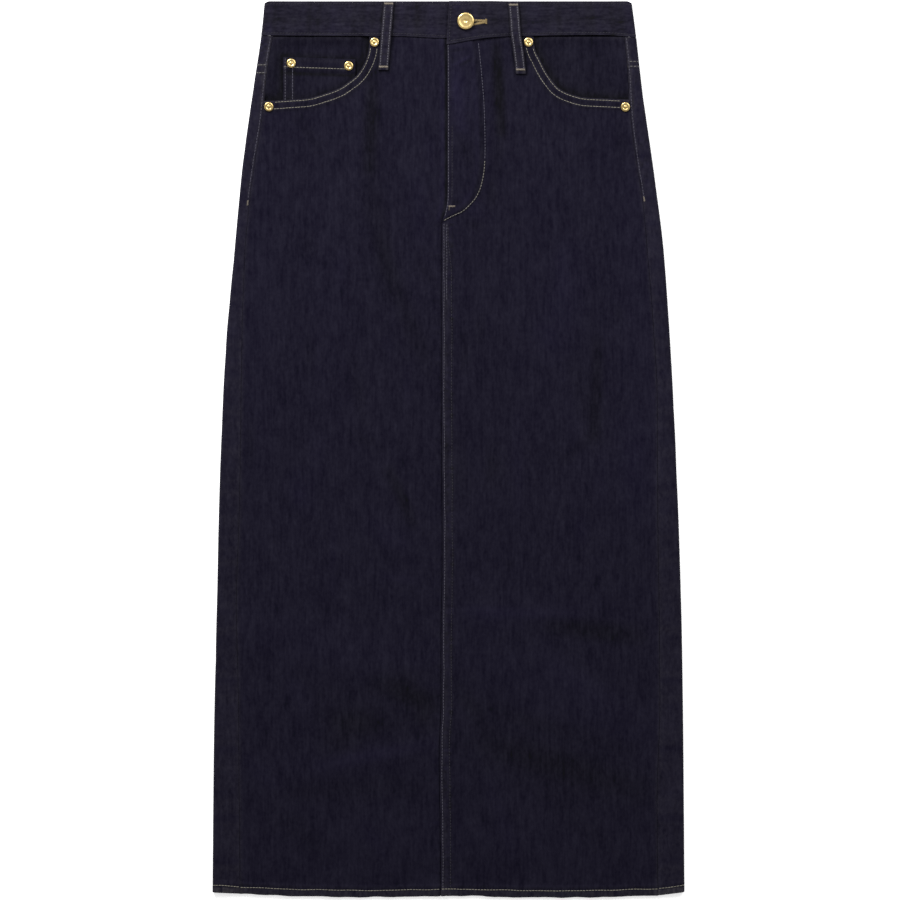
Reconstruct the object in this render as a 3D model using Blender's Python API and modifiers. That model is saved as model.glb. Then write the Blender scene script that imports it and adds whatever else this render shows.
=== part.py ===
"""Long denim skirt, laid flat on its back and face up.

The skirt is a flattened tube of denim. The origin is on the surface that it lies on, under the
middle of its outline. X runs to the wearer's left, Y to the waist and Z up. "Right" and "left"
are the wearer's, so the right side of the skirt is at -X.
Sizes in this file are millimetres, and become metres only where a mesh is made. "down" is the
distance from the top of the waist towards the hem, and the band's edge stands TOP_RISE above it.
"""
import math
from bisect import bisect_right
from collections import namedtuple

import bmesh
import bpy
from mathutils import Vector

METRE = 0.001

# Driving sizes of the garment: how far down the hem reaches, how far the band's top edge rises
# above the line that down is measured from, and the place down of the middle of both.
HEM_LOWEST = 895.1
TOP_RISE = 1.2
LENGTH = HEM_LOWEST + TOP_RISE
MIDDLE = HEM_LOWEST - LENGTH / 2
WALL = 1.1
BAND_WALL = 3.0
LOOP_WALL = 1.7
SEAM_GAP = 0.35
LAYER = WALL + SEAM_GAP

# Side folds: how far in from the outline the front takes to come down to its own level.
FOLD_REACH = 28.0
FOLD_STEPS = 6
BAND_FOLD = 7.2
BAND_FOLD_REACH = 20.0
BAND_FOLD_STEPS = 8

# Waistband: its straight depth, and where its ends lap each other.
BAND_DEPTH = 34.0
BAND_FRONT = 2 * BAND_WALL + SEAM_GAP
BAND_LAP = BAND_WALL + SEAM_GAP
UNDERLAP_END = 40.0
LAP_CLIMB_FROM = 62.0
LAP_CLIMB_TO = 42.0
BAND_END_TOP = 0.5
BAND_END_SLANT = -2.5

# Fly: the left front laps the right one, and the facing lifts it inside the curved stitching,
# over a step this wide to each side of the stitching.
FLY_UNDERLAP = 2.0
FLY_UNDERLAP_ENDS = 200.0
FLY_UNDERLAP_GONE = 209.0
FLY_STEP = 1.5
FLY_STEP_HEIGHT = LAYER
FLY_FACING_END = 213.0
WAIST_LIFT = BAND_LAP - LAYER
WAIST_LIFT_FADES = 55.0

# Back yoke seam, down from the waist: at each side fold and at the centre back.
YOKE_RIGHT = 72.5
YOKE_LEFT = 66.0
YOKE_CENTRE = 98.0

# Front pockets: how far the facing runs on under the front, and over what distance from the
# side seam it sinks below it. The coin pocket's sides are given by x and its top by down.
FACING_UNDER = 12.0
FACING_BLEND = 14.0
COIN_RIGHT_EDGE = -165.5
COIN_LEFT_EDGE = -93.0
COIN_TOP = 54.5
COIN_TOP_SLOPE = 2.5
COIN_UNDER = 8.0

# Turned-up hem: its depth, how much it lifts the cloth, and over what distance.
HEM_TURN = 9.0
HEM_LIFT = 1.3
HEM_EASE = 3.0

BELT_LOOP_WIDTH = 10.0
LOOP_BEND_AT = 31.0
LOOP_BEND_REACH = 15.0
RIVET_RADIUS = 4.75
RIVET_STEPS = 14
BUTTON_RADIUS = 8.5
BUTTON_STEPS = 24
BUTTON_AT = (17.2, 19.0)

# Outline of the garment, seen from above.
Outline = namedtuple("Outline", "down right_edge left_edge")
OUTLINE = [
    Outline(0.0, -184.0, 183.2),
    Outline(28.0, -186.7, 187.0),
    Outline(87.5, -195.5, 193.8),
    Outline(167.5, -206.5, 205.2),
    Outline(247.5, -214.1, 215.2),
    Outline(347.5, -223.0, 222.3),
    Outline(467.5, -228.5, 228.2),
    Outline(627.5, -232.4, 233.5),
    Outline(747.5, -234.8, 235.0),
    Outline(HEM_LOWEST, -236.1, 236.1),
]

# Side seams: they lie on top, because the back panels wrap forward over the side folds.
SideSeam = namedtuple("SideSeam", "down right_seam left_seam")
SIDE_SEAMS = [
    SideSeam(30.0, -175.2, 175.5),
    SideSeam(67.5, -181.5, 179.2),
    SideSeam(112.5, -186.0, 182.0),
    SideSeam(162.5, -193.9, 188.4),
    SideSeam(197.5, -198.7, 194.0),
    SideSeam(247.5, -203.3, 198.8),
    SideSeam(341.5, -206.6, 206.0),
    SideSeam(400.0, -207.4, 208.8),
    SideSeam(514.5, -209.4, 209.2),
    SideSeam(600.0, -212.0, 210.6),
    SideSeam(700.0, -210.0, 211.4),
    SideSeam(797.5, -209.3, 208.6),
    SideSeam(HEM_LOWEST, -208.4, 209.4),
]

# Height of the front's outer face above the floor: its own level, and over the side folds.
Level = namedtuple("Level", "down body fold")
LEVELS = [
    Level(30.0, 5.6, 6.5),
    Level(60.0, 5.8, 6.6),
    Level(115.0, 5.7, 6.6),
    Level(180.0, 4.5, 6.0),
    Level(260.0, 3.3, 5.4),
    Level(360.0, 2.9, 5.1),
    Level(600.0, 2.8, 5.0),
    Level(860.0, 2.9, 5.0),
]

# Centre front: the left front's edge, which is the fly's edge above and the seam below, and the
# curved stitching that closes the fly. Past the fly the stitching column leaves the panel.
CentreFront = namedtuple("CentreFront", "down edge stitch")
CENTRE_FRONT = [
    CentreFront(38.0, -1.4, 29.5),
    CentreFront(70.5, -1.0, 32.9),
    CentreFront(104.5, -1.0, 35.5),
    CentreFront(146.5, -1.0, 36.5),
    CentreFront(165.5, -1.0, 35.7),
    CentreFront(181.5, -1.0, 32.9),
    CentreFront(193.0, -1.2, 28.5),
    CentreFront(201.5, -1.8, 21.9),
    CentreFront(208.8, -3.2, 13.8),
    CentreFront(213.5, -4.6, 3.6),
    CentreFront(216.2, -5.6, -1.8),
    CentreFront(218.4, -6.2, -5.2),
    CentreFront(221.0, -6.8, -10.0),
    CentreFront(400.0, -6.8, -12.0),
    CentreFront(550.0, -6.0, -12.0),
    CentreFront(650.0, -7.2, -12.0),
    CentreFront(697.0, -7.0, -12.0),
    CentreFront(750.0, -9.0, -12.0),
    CentreFront(850.0, -7.8, -12.0),
    CentreFront(HEM_LOWEST, -7.8, -12.0),
]

# Waist seam on the front, by x. The band's upper end is cut deeper than the rest of it.
WaistSeam = namedtuple("WaistSeam", "x down")
WAIST_SEAM_RIGHT = [
    WaistSeam(-186.5, 33.0),
    WaistSeam(-49.0, 33.8),
    WaistSeam(-6.0, 35.6),
    WaistSeam(2.5, 35.6),
    WaistSeam(14.0, 33.5),
]
WAIST_SEAM_LEFT = [
    WaistSeam(0.0, 42.0),
    WaistSeam(23.5, 37.8),
    WaistSeam(39.5, 35.5),
    WaistSeam(60.5, 34.0),
    WaistSeam(151.5, 32.5),
    WaistSeam(187.5, 35.0),
]

# Pocket mouths: the edge of each front, from the waist seam to the side seam.
Mouth = namedtuple("Mouth", "x down")
MOUTH_RIGHT = [
    Mouth(79.0, 33.6),
    Mouth(79.8, 47.5),
    Mouth(84.9, 62.5),
    Mouth(92.2, 73.3),
    Mouth(100.7, 80.1),
    Mouth(109.6, 85.9),
    Mouth(124.1, 91.3),
    Mouth(141.3, 95.9),
    Mouth(159.4, 97.2),
    Mouth(174.5, 98.3),
    Mouth(190.0, 99.0),
]
MOUTH_LEFT = [
    Mouth(85.0, 33.9),
    Mouth(86.3, 46.0),
    Mouth(91.3, 56.8),
    Mouth(97.0, 68.2),
    Mouth(103.7, 78.3),
    Mouth(111.3, 86.5),
    Mouth(122.5, 91.7),
    Mouth(136.3, 95.2),
    Mouth(157.2, 96.3),
    Mouth(169.5, 96.9),
    Mouth(190.0, 97.7),
]

# Hem edge, by x.
Hem = namedtuple("Hem", "x down")
HEM = [
    Hem(-236.1, 890.0),
    Hem(-188.5, 892.2),
    Hem(-128.5, 894.3),
    Hem(-73.5, 894.7),
    Hem(11.5, 893.5),
    Hem(76.5, 895.0),
    Hem(111.5, HEM_LOWEST),
    Hem(201.5, 893.4),
    Hem(236.1, 889.6),
]

# Largest folds of the front: soft ridges from one place to another.
Ridge = namedtuple("Ridge", "x down x_end down_end reach height")
RIDGES = [
    Ridge(-125.0, 175.0, -112.0, 430.0, 52.0, 1.5),
    Ridge(-42.0, 110.0, -26.0, 290.0, 26.0, 1.0),
    Ridge(102.0, 175.0, 96.0, 420.0, 48.0, 1.5),
    Ridge(128.0, 370.0, 140.0, 530.0, 26.0, 1.1),
    Ridge(-78.0, 512.0, -38.0, 548.0, 20.0, 1.0),
    Ridge(22.0, 606.0, 150.0, 612.0, 22.0, 1.0),
    Ridge(-196.0, 636.0, -22.0, 668.0, 38.0, 2.0),
    Ridge(-168.0, 772.0, -14.0, 744.0, 28.0, 1.5),
    Ridge(32.0, 662.0, 196.0, 738.0, 40.0, 2.2),
    Ridge(-120.0, 838.0, 118.0, 846.0, 26.0, 0.9),
]

# Rows of points down a panel. Above the first one they follow the panel's own top edge, and
# below the last one the hem.
TOP_PARTS = (0.0, 0.12, 0.34, 0.56, 0.78)
COMMON_ROWS = (
    118.0, 140.0, 162.0, 180.0, 193.0, 201.5, 206.0, 209.5, 213.5, 217.0, 220.0, 226.0,
    248.0, 276.0, 308.0, 342.0, 376.0, 410.0, 444.0, 478.0, 506.0, 530.0, 554.0, 580.0,
    604.0, 624.0, 644.0, 664.0, 684.0, 704.0, 724.0, 744.0, 764.0, 786.0, 810.0, 835.0, 858.0,
)
HEM_PARTS = (0.35, 0.62, 0.76, 1.0)
FLY_ROWS = (60.0, 80.0, 100.0, 120.0, 146.0, 165.5, 181.5, 193.0, 201.5, 208.8, FLY_FACING_END)

# Belt loops: the middle of each one's upper and lower end, and how far it bends to one side.
BeltLoop = namedtuple("BeltLoop", "name x down x_end down_end bend")
BELT_LOOPS = [
    BeltLoop("belt_loop_right", -59.6, -0.9, -65.3, 67.8, 0.0),
    BeltLoop("belt_loop_left", 64.6, -0.9, 72.5, 71.6, -0.85),
]
BELT_LOOP_ROWS = (0.0, 3.0, 12.0, 22.0, 31.0, 34.5, 38.0, 44.0, 54.0, 63.0)

Rivet = namedtuple("Rivet", "name x down")
PANEL_RIVETS = [
    Rivet("rivet_right_pocket_top", -74.0, 39.8),
    Rivet("rivet_right_pocket_side", -179.6, 104.3),
    Rivet("rivet_left_pocket_top", 80.0, 39.8),
    Rivet("rivet_left_pocket_side", 176.8, 104.6),
]
COIN_RIVETS = [
    Rivet("rivet_coin_outer", -157.3, 60.8),
    Rivet("rivet_coin_inner", -99.8, 63.4),
]

# Turned profiles, from the middle of the top to the middle of the foot.
Turned = namedtuple("Turned", "radius height")
RIVET_PROFILE = [
    Turned(0.0, 1.5),
    Turned(1.4, 1.25),
    Turned(1.9, 0.8),
    Turned(2.9, 1.2),
    Turned(4.0, 1.05),
    Turned(RIVET_RADIUS, 0.3),
    Turned(4.55, 0.0),
    Turned(0.0, 0.0),
]
BUTTON_PROFILE = [
    Turned(0.0, 2.1),
    Turned(1.3, 2.4),
    Turned(2.0, 2.6),
    Turned(5.4, 2.6),
    Turned(6.3, 2.88),
    Turned(7.5, 2.88),
    Turned(BUTTON_RADIUS, 2.1),
    Turned(8.2, 1.4),
    Turned(3.0, 1.2),
    Turned(2.6, 0.0),
    Turned(0.0, 0.0),
]

DENIM = dict(color=(0.016, 0.015, 0.026, 1.0), roughness=0.92, metallic=0.0)
BRASS = dict(color=(0.72, 0.52, 0.24, 1.0), roughness=0.32, metallic=1.0)


# Reading the tables.

def ease(share):
    """Smooth step from 0 to 1 as share goes from 0 to 1."""
    share = min(max(share, 0.0), 1.0)
    return share * share * (3.0 - 2.0 * share)


def steady_slope(before, after):
    """Slope at a table's row that never overshoots between its neighbours' slopes."""
    if before * after <= 0.0:
        return 0.0
    return 2.0 * before * after / (before + after)


def read(table, key, column, at):
    """A column's value where the key is at, on a smooth curve through the table's rows."""
    keys = [getattr(row, key) for row in table]
    values = [getattr(row, column) for row in table]
    if at <= keys[0]:
        return values[0]
    if at >= keys[-1]:
        return values[-1]
    spans = [b - a for a, b in zip(keys, keys[1:])]
    rises = [(b - a) / span for a, b, span in zip(values, values[1:], spans)]
    slopes = [rises[0]] + [steady_slope(a, b) for a, b in zip(rises, rises[1:])] + [rises[-1]]
    i = bisect_right(keys, at) - 1
    t = (at - keys[i]) / spans[i]
    start = values[i] * (1 + 2 * t) * (1 - t) ** 2 + spans[i] * slopes[i] * t * (1 - t) ** 2
    end = values[i + 1] * (3 - 2 * t) * t ** 2 - spans[i] * slopes[i + 1] * t ** 2 * (1 - t)
    return start + end


def outline_edge(side, down):
    return read(OUTLINE, "down", "right_edge" if side < 0 else "left_edge", down)


def side_seam(side, down):
    return read(SIDE_SEAMS, "down", "right_seam" if side < 0 else "left_seam", down)


def fly_edge(down):
    return read(CENTRE_FRONT, "down", "edge", down)


def fly_stitch(down):
    return read(CENTRE_FRONT, "down", "stitch", down)


def hem_down(x):
    return read(HEM, "x", "down", x)


def waist_seam(side, x):
    return read(WAIST_SEAM_RIGHT if side < 0 else WAIST_SEAM_LEFT, "x", "down", x)


def mouth_rows(side):
    return MOUTH_RIGHT if side < 0 else MOUTH_LEFT


def front_top(side, x):
    """Top edge of a front: the waist seam, then the pocket mouth."""
    if side * x <= mouth_rows(side)[0].x:
        return waist_seam(side, x) + SEAM_GAP
    return read(mouth_rows(side), "x", "down", side * x)


def yoke_seam(x, side, on_top):
    """Yoke seam: level over the side folds, and down to the centre back underneath."""
    at_side = YOKE_RIGHT if side < 0 else YOKE_LEFT
    if on_top:
        return at_side
    inward = 1.0 - abs(x) / abs(outline_edge(side, at_side))
    return at_side + (YOKE_CENTRE - at_side) * inward


# Heights above the floor.

def hem_lift(x, down):
    return HEM_LIFT * ease((HEM_TURN + HEM_EASE - (hem_down(x) - down)) / HEM_EASE)


def fold_height(side, down):
    edge = outline_edge(side, down)
    return read(LEVELS, "down", "fold", down) + hem_lift(edge, down)


def bump(share):
    """Soft hump: 1 at 0, and 0 from 1 on."""
    return (1.0 - share * share) ** 2 if abs(share) < 1.0 else 0.0


def ridge_height(ridge, x, down):
    run = Vector((ridge.x_end - ridge.x, ridge.down_end - ridge.down))
    place = Vector((x - ridge.x, down - ridge.down))
    along = place.dot(run) / run.length_squared
    nearest = min(max(along, 0.0), 1.0)
    off = (place - run * nearest).length
    return ridge.height * bump(off / ridge.reach) * (0.55 + 0.45 * math.sin(math.pi * nearest))


def front_height(x, down):
    """Outer face of the fronts, without the fly's lift."""
    side = -1 if x < 0 else 1
    fold = fold_height(side, down)
    body = read(LEVELS, "down", "body", down) + hem_lift(x, down)
    inward = side * (outline_edge(side, down) - x) - fold / 2
    share = ease(inward / FOLD_REACH)
    ridges = max(ridge_height(ridge, x, down) for ridge in RIDGES)
    return fold + (body - fold) * share + ridges * share


def fly_lift(x, down):
    """How far the fly's facing and the band's lapped ends raise the left front."""
    facing = FLY_STEP_HEIGHT * ease((fly_stitch(down) - x + FLY_STEP) / (2 * FLY_STEP))
    across = ease((LAP_CLIMB_FROM - x) / (LAP_CLIMB_FROM - LAP_CLIMB_TO))
    fade = 1.0 - ease((down - BAND_DEPTH - 6.0) / WAIST_LIFT_FADES)
    return facing + WAIST_LIFT * across * fade


def left_front_height(x, down):
    return front_height(x, down) + fly_lift(x, down)


def panel_height(x, down):
    """Outer face of whichever front lies on top."""
    return left_front_height(x, down) if x > fly_edge(down) else front_height(x, down)


def facing_height(side, x, down):
    """Outer face of a pocket facing: level with the side seam, then sunk under the front."""
    from_seam = side * (side_seam(side, down) - x)
    under = down - (read(mouth_rows(side), "x", "down", side * x) - 10.0)
    sink = max(ease(from_seam / FACING_BLEND), ease(under / 8.0))
    layers = 2 if side < 0 else 1
    return front_height(x, down) - layers * LAYER * sink - 0.1


def band_height(x, side, down):
    """Outer face of the waistband on the front: side -1 is the lower end, 1 the upper one."""
    near = -1 if x < 0 else 1
    inward = near * (outline_edge(near, down) - x) - BAND_FOLD / 2
    level = BAND_FOLD + (BAND_FRONT - BAND_FOLD) * ease(inward / BAND_FOLD_REACH)
    if side < 0:
        return level
    return level + BAND_LAP * ease((LAP_CLIMB_FROM - x) / (LAP_CLIMB_FROM - LAP_CLIMB_TO))


# Making the solids.

def new_collection(name):
    collection = bpy.data.collections.new(name)
    bpy.context.scene.collection.children.link(collection)
    return collection


def make_material(name, color, roughness, metallic):
    material = bpy.data.materials.new(name)
    material.use_nodes = True
    shader = material.node_tree.nodes["Principled BSDF"]
    shader.inputs["Base Color"].default_value = color
    shader.inputs["Roughness"].default_value = roughness
    shader.inputs["Metallic"].default_value = metallic
    return material


def to_world(x, down, height):
    return (x * METRE, (MIDDLE - down) * METRE, height * METRE)


def add_cloth(name, lines, wall, collection):
    """Solid sheet from its outer face, given as lines of (x, down, height) points.

    The lines follow each other so that the outer face looks outwards, and Solidify adds the
    cloth's thickness on the inside.
    """
    across = len(lines[0])
    points = [to_world(*point) for line in lines for point in line]
    faces = []
    for row in range(len(lines) - 1):
        for column in range(across - 1):
            first = row * across + column
            faces.append((first, first + across, first + across + 1, first + 1))
    mesh = bpy.data.meshes.new(name)
    mesh.from_pydata(points, [], faces)
    mesh.shade_smooth()
    sheet = bpy.data.objects.new(name, mesh)
    collection.objects.link(sheet)
    solidify = sheet.modifiers.new("wall", "SOLIDIFY")
    solidify.thickness = wall * METRE
    solidify.offset = -1.0
    solidify.use_even_offset = True
    sheet.data.materials.append(make_material(name + "_denim", **DENIM))
    return sheet


def spaced(start, end, count):
    return [start + (end - start) * i / (count - 1) for i in range(count)]


def panel_downs(top, x_at_hem, top_parts=TOP_PARTS):
    """Rows down one column of a panel, from its own top edge to its own hem."""
    first = COMMON_ROWS[0]
    last = COMMON_ROWS[-1]
    hem = hem_down(x_at_hem)
    downs = [top + (first - top) * part for part in top_parts]
    downs += COMMON_ROWS
    downs += [last + (hem - last) * part for part in HEM_PARTS]
    return downs


# The fronts.

def front_inner_columns(side):
    """Functions for the x of each column near the centre front, as the height down changes."""
    if side < 0:
        return [right_front_edge]

    def stitch(down):
        return max(fly_stitch(down), fly_edge(down) + 7.0)

    return [
        fly_edge,
        lambda down: (fly_edge(down) + stitch(down) - FLY_STEP) / 2,
        lambda down: stitch(down) - FLY_STEP,
        lambda down: stitch(down) + FLY_STEP,
    ]


def right_front_edge(down):
    """Centre edge of the right front: it runs on under the fly, and stops at the seam below."""
    beside = fly_edge(down) - SEAM_GAP
    span = FLY_UNDERLAP_GONE - FLY_UNDERLAP_ENDS
    gone = min(max((down - FLY_UNDERLAP_ENDS) / span, 0.0), 1.0)
    return FLY_UNDERLAP + (beside - FLY_UNDERLAP) * gone


def front_tops(side, last_inner):
    """Points of the top edge where the outer columns start: waist seam, then pocket mouth."""
    mouth = mouth_rows(side)
    start = last_inner(BAND_DEPTH + 4.0)
    waist_columns = 5 if side < 0 else 3
    reach = side * mouth[0].x - start
    tops = []
    for i in range(1, waist_columns):
        x = start + reach * i / waist_columns
        tops.append((x, front_top(side, x)))
    for row in mouth[:-1]:
        tops.append((side * row.x, row.down))
    end = mouth[-1].down
    tops.append((side_seam(side, end) - side * SEAM_GAP / 2, end))
    return tops


def build_front(name, side, collection):
    inner = front_inner_columns(side)
    last_inner = inner[-1]
    height = front_height if side < 0 else left_front_height
    columns = []
    for x_at in inner:
        top = front_top(side, x_at(BAND_DEPTH + 4.0))
        columns.append([(x_at(down), down) for down in panel_downs(top, x_at(HEM_LOWEST))])
    tops = front_tops(side, last_inner)
    first = COMMON_ROWS[0]
    for i, (x_top, top) in enumerate(tops):
        share = (i + 1) / len(tops)

        def x_below(down):
            outer = side_seam(side, down) - side * SEAM_GAP / 2
            return last_inner(down) + share * (outer - last_inner(down))

        line = []
        for down in panel_downs(top, x_below(HEM_LOWEST)):
            x = x_below(down)
            if share < 1.0 and down < first:
                x = x_top + (x_below(first) - x_top) * (down - top) / (first - top)
            line.append((x, down))
        columns.append(line)
    lines = [[(x, down, height(x, down)) for x, down in line] for line in columns]
    if side < 0:
        lines.reverse()
    return add_cloth(name, [line[::-1] for line in lines], WALL, collection)


def build_fly_facing(collection):
    """Facing behind the left front, inside the fly's curved stitching."""
    lines = []
    top = BAND_DEPTH + 9.5
    for down in (top,) + FLY_ROWS:
        inner = max(right_front_edge(down) + SEAM_GAP, fly_edge(down) + 1.0)
        outer = fly_stitch(down) - FLY_STEP - 0.6
        lines.append([
            (x, down, left_front_height(x, down) - LAYER - 0.05)
            for x in spaced(inner, outer, 4)
        ])
    return add_cloth("fly_facing", lines, WALL, collection)


# The back, which wraps forward over both side folds.

def fold_points(side, down):
    """Outer face over one side fold at one height down: from the floor round to the top."""
    height = fold_height(side, down)
    radius = height / 2
    middle = outline_edge(side, down) - side * radius
    points = []
    for i in range(FOLD_STEPS + 1):
        angle = -math.pi / 2 + math.pi * i / FOLD_STEPS
        points.append((middle + side * radius * math.cos(angle), radius * (1 + math.sin(angle))))
    return points


def strip_points(side, down, count):
    """Outer face from the top of the side fold to the side seam."""
    start = outline_edge(side, down) - side * fold_height(side, down) / 2
    end = side_seam(side, down) + side * SEAM_GAP / 2
    return [(x, front_height(x, down)) for x in spaced(start, end, count)[1:]]


def back_section(side, down_for, inner, columns):
    """One line of outer-face points for half of the back, from the centre to the side seam.

    down_for gives the height down of each place on the line: down_for(x, on_top).
    """
    on_floor = down_for(inner, False)
    at_side = down_for(outline_edge(side, on_floor), True)
    fold_start = fold_points(side, at_side)[0][0]
    points = []
    for x in spaced(inner, fold_start, columns)[:-1]:
        points.append((x, down_for(x, False), 0.0))
    for x, height in fold_points(side, at_side) + strip_points(side, at_side, 3):
        points.append((x, at_side, height))
    return points


def build_back_panel(name, side, collection):
    lines = []
    steps = (0.0, 0.5)
    first = COMMON_ROWS[0]
    last = COMMON_ROWS[-1]

    def upper(part):
        def down_for(x, on_top):
            top = yoke_seam(x, side, on_top) + SEAM_GAP / 2
            return top + (first - top) * part
        return down_for

    def lower(part):
        return lambda x, on_top: last + (hem_down(x) - 0.3 - last) * part

    heights = [upper(part) for part in steps]
    heights += [lambda x, on_top, down=down: down for down in COMMON_ROWS]
    heights += [lower(part) for part in HEM_PARTS]
    for down_for in heights:
        lines.append(back_section(side, down_for, side * SEAM_GAP / 2, 5))
    if side > 0:
        lines = [line[::-1] for line in lines]
    return add_cloth(name, lines, WALL, collection)


def build_yoke(collection):
    """Back yoke in one piece, from side seam to side seam round the back."""
    lines = []
    for part in (0.0, 0.5, 1.0):
        line = []
        for side in (-1, 1):
            def down_for(x, on_top):
                at_waist = BAND_DEPTH + SEAM_GAP
                if on_top:
                    at_waist = waist_seam(side, x) + SEAM_GAP
                at_yoke = yoke_seam(x, side, on_top) - SEAM_GAP / 2
                return at_waist + (at_yoke - at_waist) * part
            half = back_section(side, down_for, 0.0, 5)
            line += half[::-1] if side < 0 else half[1:]
        lines.append(line[::-1])
    return add_cloth("back_yoke", lines, WALL, collection)


# The waistband, one strip from its lower end round the back to its upper end.

def band_fold(side, down):
    radius = BAND_FOLD / 2
    middle = outline_edge(side, down) - side * radius
    points = []
    for i in range(BAND_FOLD_STEPS + 1):
        angle = math.pi / 2 - math.pi * i / BAND_FOLD_STEPS
        points.append((middle + side * radius * math.cos(angle), radius * (1 + math.sin(angle))))
    return points


def build_waistband(collection):
    lines = []
    for part in (0.0, 0.5, 1.0):
        line = []
        across = BAND_DEPTH * part
        rise = TOP_RISE * (1.0 - part)
        fold_right = band_fold(-1, across)
        fold_left = band_fold(1, across)
        under = spaced(UNDERLAP_END, fold_right[0][0] + BAND_FOLD_REACH, 9)
        under += spaced(under[-1], fold_right[0][0], 4)[1:-1]
        for x in under:
            down = waist_seam(-1, x) * part - rise
            line.append((x, down, band_height(x, -1, down)))
        for x, height in fold_right:
            line.append((x, waist_seam(-1, x) * part - rise, height))
        for x in spaced(fold_right[-1][0], fold_left[-1][0], 9)[1:-1]:
            line.append((x, across - rise, 0.0))
        for x, height in reversed(fold_left):
            line.append((x, waist_seam(1, x) * part - rise, height))
        over = spaced(fold_left[0][0], fold_left[0][0] - BAND_FOLD_REACH, 5)[1:]
        over += spaced(over[-1], LAP_CLIMB_FROM, 9)[1:]
        over += spaced(LAP_CLIMB_FROM, LAP_CLIMB_TO, 6)[1:]
        over += spaced(LAP_CLIMB_TO, BAND_END_TOP + BAND_END_SLANT * part, 5)[1:]
        for x in over:
            down = waist_seam(1, x) * part - rise
            line.append((x, down, band_height(x, 1, down)))
        lines.append(line[::-1])
    return add_cloth("waistband", lines, BAND_WALL, collection)


# Pockets.

def facing_top(side, x):
    """The facing stays below the waist seam, and below the band's back where it is sunk."""
    return max(waist_seam(side, x), BAND_DEPTH) + SEAM_GAP


def build_pocket_facing(name, side, collection):
    """Facing seen in the pocket mouth: sewn at waist and side seam, and run on under the front."""
    mouth = mouth_rows(side)
    inner = mouth[0].x - FACING_UNDER
    places = [inner, mouth[0].x - 2.0] + [row.x for row in mouth[2:-2]]
    lines = []
    for place in places:
        bottom = read(mouth, "x", "down", place) + FACING_UNDER
        if place < mouth[0].x:
            bottom = mouth[2].down + FACING_UNDER * 0.5
        top = facing_top(side, side * place)
        lines.append([(side * place, down) for down in spaced(top, bottom, 8)])
    top = facing_top(side, side_seam(side, BAND_DEPTH))
    seam_line = []
    for down in spaced(top, mouth[-2].down + FACING_UNDER, 8):
        seam_line.append((side_seam(side, down) - side * SEAM_GAP, down))
    before = []
    for (x, down), (x_before, down_before) in zip(seam_line, lines[-1]):
        before.append(((x + x_before) / 2, (down + down_before) / 2))
    lines += [before, seam_line]
    faces = [[(x, down, facing_height(side, x, down)) for x, down in line] for line in lines]
    if side < 0:
        faces.reverse()
    return add_cloth(name, [line[::-1] for line in faces], WALL, collection)


def coin_height(x, down):
    return facing_height(-1, x, down) + LAYER


def build_coin_pocket(collection):
    """Small pocket on the right facing. Its foot goes under the front's edge."""
    lines = []
    for x in spaced(COIN_RIGHT_EDGE, COIN_LEFT_EDGE, 8):
        share = (x - COIN_RIGHT_EDGE) / (COIN_LEFT_EDGE - COIN_RIGHT_EDGE)
        top = COIN_TOP + COIN_TOP_SLOPE * share
        bottom = read(MOUTH_RIGHT, "x", "down", -x) + COIN_UNDER
        lines.append([
            (x, down, coin_height(x, down)) for down in spaced(bottom, top, 6)
        ])
    return add_cloth("coin_pocket", lines, WALL, collection)


# Belt loops.

def under_loop(x, down):
    """What a belt loop lies on: the band, then the front below it."""
    side = -1 if x < 0 else 1
    band = band_height(x, side, down)
    panel = panel_height(x, down)
    share = ease((down - waist_seam(side, x) - 1.0) / 9.0)
    return band + (panel - band) * share


def loop_middle(loop, along):
    """x of a belt loop's middle line, which bends a little to one side."""
    straight = loop.x + (loop.x_end - loop.x) * along / (loop.down_end - loop.down)
    return straight + loop.bend * math.exp(-(((along - LOOP_BEND_AT) / LOOP_BEND_REACH) ** 2))


def build_belt_loop(loop, collection):
    lines = []
    half = BELT_LOOP_WIDTH / 2
    length = loop.down_end - loop.down
    for along in BELT_LOOP_ROWS + (length,):
        middle = loop_middle(loop, along)
        down = loop.down + along
        line = []
        for x in (middle - half, middle, middle + half):
            line.append((x, down, under_loop(x, down) + SEAM_GAP + LOOP_WALL))
        lines.append(line)
    return add_cloth(loop.name, lines, LOOP_WALL, collection)


# Metal.

def add_turned(name, profile, steps, x, down, height_at, collection):
    """Turned metal piece, seated a seam's gap above the cloth and square to it."""
    mesh = bpy.data.meshes.new(name)
    shape = bmesh.new()
    points = [shape.verts.new((row.radius * METRE, 0.0, row.height * METRE)) for row in profile]
    for a, b in zip(points, points[1:]):
        shape.edges.new((a, b))
    shape.to_mesh(mesh)
    shape.free()
    piece = bpy.data.objects.new(name, mesh)
    collection.objects.link(piece)
    screw = piece.modifiers.new("turn", "SCREW")
    screw.steps = steps
    screw.render_steps = steps
    screw.use_merge_vertices = True
    screw.merge_threshold = 0.00001
    screw.use_smooth_shade = True
    radius = max(row.radius for row in profile)
    slope_x = (height_at(x + radius, down) - height_at(x - radius, down)) / (2 * radius)
    slope_y = (height_at(x, down - radius) - height_at(x, down + radius)) / (2 * radius)
    normal = Vector((-slope_x, -slope_y, 1.0)).normalized()
    around = [
        height_at(x + dx, down - dy) - slope_x * dx - slope_y * dy
        for dx, dy in ((0, 0), (radius, 0), (-radius, 0), (0, radius), (0, -radius))
    ]
    piece.location = to_world(x, down, max(around) + SEAM_GAP)
    piece.rotation_mode = "QUATERNION"
    piece.rotation_quaternion = Vector((0, 0, 1)).rotation_difference(normal)
    piece.data.materials.append(make_material(name + "_brass", **BRASS))
    return piece


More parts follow.
